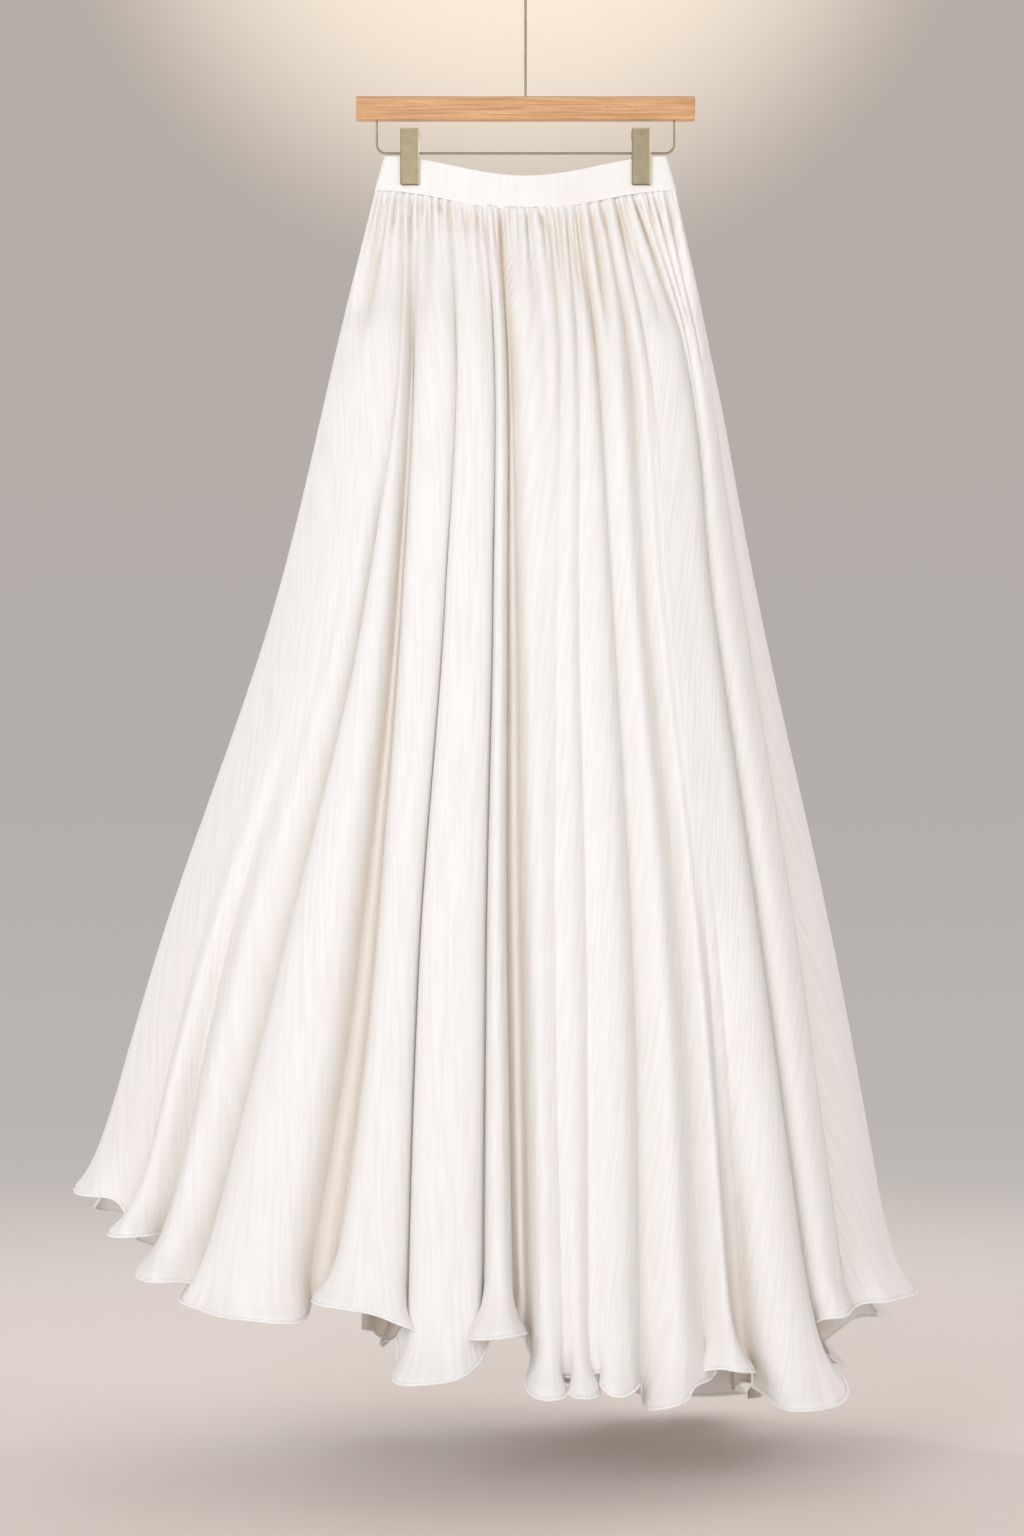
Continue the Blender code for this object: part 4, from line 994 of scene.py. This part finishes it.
# %% Bent wires
BAR_TOP_Z, BAR_HEIGHT, HOLE_DEPTH = -160.3, 23.5, 12.0
HOOK_WIRE, HOOK_INNER_RADIUS = 2.6, 21.0
HOOK_JOIN_ANGLE, HOOK_END_ANGLE = -55.0, 200.0
LOWER_WIRE, LOWER_WIRE_HALF_SPAN, LOWER_WIRE_Z, LOWER_WIRE_CORNER = 2.2, 148.7, -216.4, 9.0
TIP_RADII = (0.05, 0.45, 0.70, 0.87, 0.97)


def arc(centre, radius, start, end, steps):
    """Points of an arc in the XZ plane, in mm."""
    turns = [math.radians(start + (end - start) * k / steps) for k in range(steps + 1)]
    return [(centre[0] + radius * math.cos(a), 0.0, centre[1] + radius * math.sin(a)) for a in turns]


def build_hook():
    radius = HOOK_INNER_RADIUS + HOOK_WIRE / 2
    join = math.radians(HOOK_JOIN_ANGLE)
    join_x, join_z = radius * math.cos(join), -HOOK_INNER_RADIUS + radius * math.sin(join)
    bend_radius = join_x / (1 - math.cos(join))
    bend_z = join_z + bend_radius * math.sin(join)
    route = [(0.0, 0.0, BAR_TOP_Z - HOLE_DEPTH)]
    route += arc((bend_radius, bend_z), bend_radius, 180, 180 + HOOK_JOIN_ANGLE, 24)
    route += arc((0.0, -HOOK_INNER_RADIUS), radius, HOOK_JOIN_ANGLE, HOOK_END_ANGLE, 96)[1:]
    tip = arc((0.0, -HOOK_INNER_RADIUS), radius, HOOK_END_ANGLE, HOOK_END_ANGLE + 3.0, 4)[1:]
    piece = add_round("hook", [route + tip], HOOK_WIRE, upright_brass, taper=TIP_RADII)
    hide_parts("hanger_hook")


def build_lower_wire():
    top = BAR_TOP_Z - BAR_HEIGHT + HOLE_DEPTH
    inner, low = LOWER_WIRE_HALF_SPAN - LOWER_WIRE_CORNER, LOWER_WIRE_Z + LOWER_WIRE_CORNER
    route = [(-LOWER_WIRE_HALF_SPAN, 0.0, top)]
    route += arc((-inner, low), LOWER_WIRE_CORNER, 180, 270, 16)
    route += arc((inner, low), LOWER_WIRE_CORNER, 270, 360, 16)
    route += [(LOWER_WIRE_HALF_SPAN, 0.0, top)]
    piece = add_round("clip_wire", [route], LOWER_WIRE, level_brass)
    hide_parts("hanger_wire")


build_hook()
build_lower_wire()

# %% [markdown]
# ## Floor and light
#
# A plain pale floor lies just under the hem. It fades into the surrounding studio tone before its edge,
# so no horizon shows from any side.

# %% Floor
FLOOR_Z = -1.513
FLOOR_RADIUS = 9.0
FADE_START, FADE_END = 0.4, 2.2


def build_floor():
    bm = bmesh.new()
    bmesh.ops.create_circle(bm, cap_ends=True, segments=96, radius=FLOOR_RADIUS)
    bmesh.ops.translate(bm, vec=(0, 0, FLOOR_Z), verts=bm.verts)
    mesh = bpy.data.meshes.new("floor")
    bm.to_mesh(mesh)
    bm.free()
    made, tree = new_material("matt painted floor")
    place = add_node(tree, "ShaderNodeTexCoord").outputs["Object"]
    flat = add_node(tree, "ShaderNodeVectorMath", {0: place, 1: (1, 1, 0)}, operation="MULTIPLY")
    radius = add_node(tree, "ShaderNodeVectorMath", {0: flat.outputs[0]}, operation="LENGTH")
    fade = add_node(tree, "ShaderNodeMapRange", {
        "Value": radius.outputs["Value"], "From Min": FADE_START, "From Max": FADE_END},
        interpolation_type="SMOOTHSTEP")
    paint = add_node(tree, "ShaderNodeBsdfPrincipled", {"Base Color": linear("E6DDD5"), "Roughness": 0.9})
    clear = add_node(tree, "ShaderNodeBsdfTransparent")
    mixed = add_node(tree, "ShaderNodeMixShader", {
        0: fade.outputs["Result"], 1: paint.outputs[0], 2: clear.outputs[0]})
    add_node(tree, "ShaderNodeOutputMaterial", {"Surface": mixed.outputs[0]})
    mesh.materials.append(made)
    floor = bpy.data.objects.new("floor", mesh)
    bpy.context.scene.collection.objects.link(floor)


build_floor()

# %% [markdown]
# The world is the studio's wall. Its tone depends only on height, and a warm glow sits behind the
# hanger, as a lamp above the set gives. A world costs no geometry and looks even from every side.

# %% World tone
STUDIO_TONES = ((0.38, "DDD5CD"), (0.41, "CDC5BF"), (0.44, "BBB6B2"), (0.50, "B3AEAB"), (0.60, "B6ADA6"))
GLOW_DIRECTION = (0.0, 0.951, 0.309)
GLOW_INNER, GLOW_OUTER = 0.9998, 0.9874      # cosines of the angles where the glow is full and gone
world = bpy.data.worlds.new("studio")
world.use_nodes = True
tree = world.node_tree
tree.nodes.clear()
direction = add_node(tree, "ShaderNodeTexCoord").outputs["Generated"]
height = add_node(tree, "ShaderNodeSeparateXYZ", {0: direction}).outputs["Z"]
rise = add_node(tree, "ShaderNodeMapRange", {"Value": height, "From Min": -1.0}).outputs["Result"]
ramp = add_node(tree, "ShaderNodeValToRGB", {"Fac": rise})
while len(ramp.color_ramp.elements) < len(STUDIO_TONES):
    ramp.color_ramp.elements.new(1.0)
for element, (position, tone) in zip(ramp.color_ramp.elements, STUDIO_TONES):
    element.position = position
    element.color = linear(tone)
towards_glow = add_node(
    tree, "ShaderNodeVectorMath", {0: direction, 1: GLOW_DIRECTION},
    operation="DOT_PRODUCT").outputs["Value"]
glow = add_node(tree, "ShaderNodeMapRange", {
    "Value": towards_glow, "From Min": GLOW_OUTER, "From Max": GLOW_INNER, "To Max": 1.0},
    interpolation_type="SMOOTHSTEP")
lit = add_node(tree, "ShaderNodeMix", {
    "Factor": glow.outputs["Result"], "A": ramp.outputs["Color"], "B": linear("FFEFDC")}, data_type="RGBA")
shade = add_node(tree, "ShaderNodeBackground", {"Color": lit.outputs["Result"], "Strength": 1.0})
add_node(tree, "ShaderNodeOutputWorld", {"Surface": shade.outputs[0]})
bpy.context.scene.world = world
print("studio tones:", ", ".join(tone for _, tone in STUDIO_TONES))

# %% [markdown]
# Large soft lamps light pale cloth without hard shadows. The key is high at the left, the fill is weak,
# so that the right of each fold stays darker, and a broad wash from the front opens the valleys. Rims
# and a back wash serve the views from behind. Daylight lamps are slightly cool.

# %% Lights
SoftLight = namedtuple("SoftLight", "name place width height watts colour")
LIGHTS = (
    SoftLight("key", (-1.9, -2.8, 0.5), 1.8, 2.2, 42, "F0F6FF"),
    SoftLight("fill", (2.1, -2.6, -0.5), 2.0, 2.4, 15, "F0F6FF"),
    SoftLight("front_wash", (-0.3, -4.4, -0.9), 3.0, 2.6, 66, "F0F6FF"),
    SoftLight("rim_left", (-2.3, 1.8, -0.2), 0.8, 2.2, 24, "F2F7FF"),
    SoftLight("rim_right", (2.3, 1.9, -0.2), 0.8, 2.2, 24, "F2F7FF"),
    SoftLight("back_wash", (0.4, 3.4, 0.2), 2.2, 2.2, 34, "F2F7FF"),
)
LIGHT_TARGET = Vector((0, 0, -0.8))
for light in LIGHTS:
    data = bpy.data.lights.new(light.name, "AREA")
    data.shape = "RECTANGLE"
    data.size, data.size_y = light.width, light.height
    data.energy = light.watts
    data.color = linear(light.colour)[:3]
    lamp = bpy.data.objects.new(light.name, data)
    lamp.location = light.place
    lamp.rotation_euler = (LIGHT_TARGET - Vector(light.place)).to_track_quat("-Z", "Y").to_euler()
    lamp.visible_camera = False
    bpy.context.scene.collection.objects.link(lamp)
bpy.context.scene.view_settings.view_transform = "Standard"
print(len(LIGHTS), "lamps,", sum(light.watts for light in LIGHTS), "W in all")
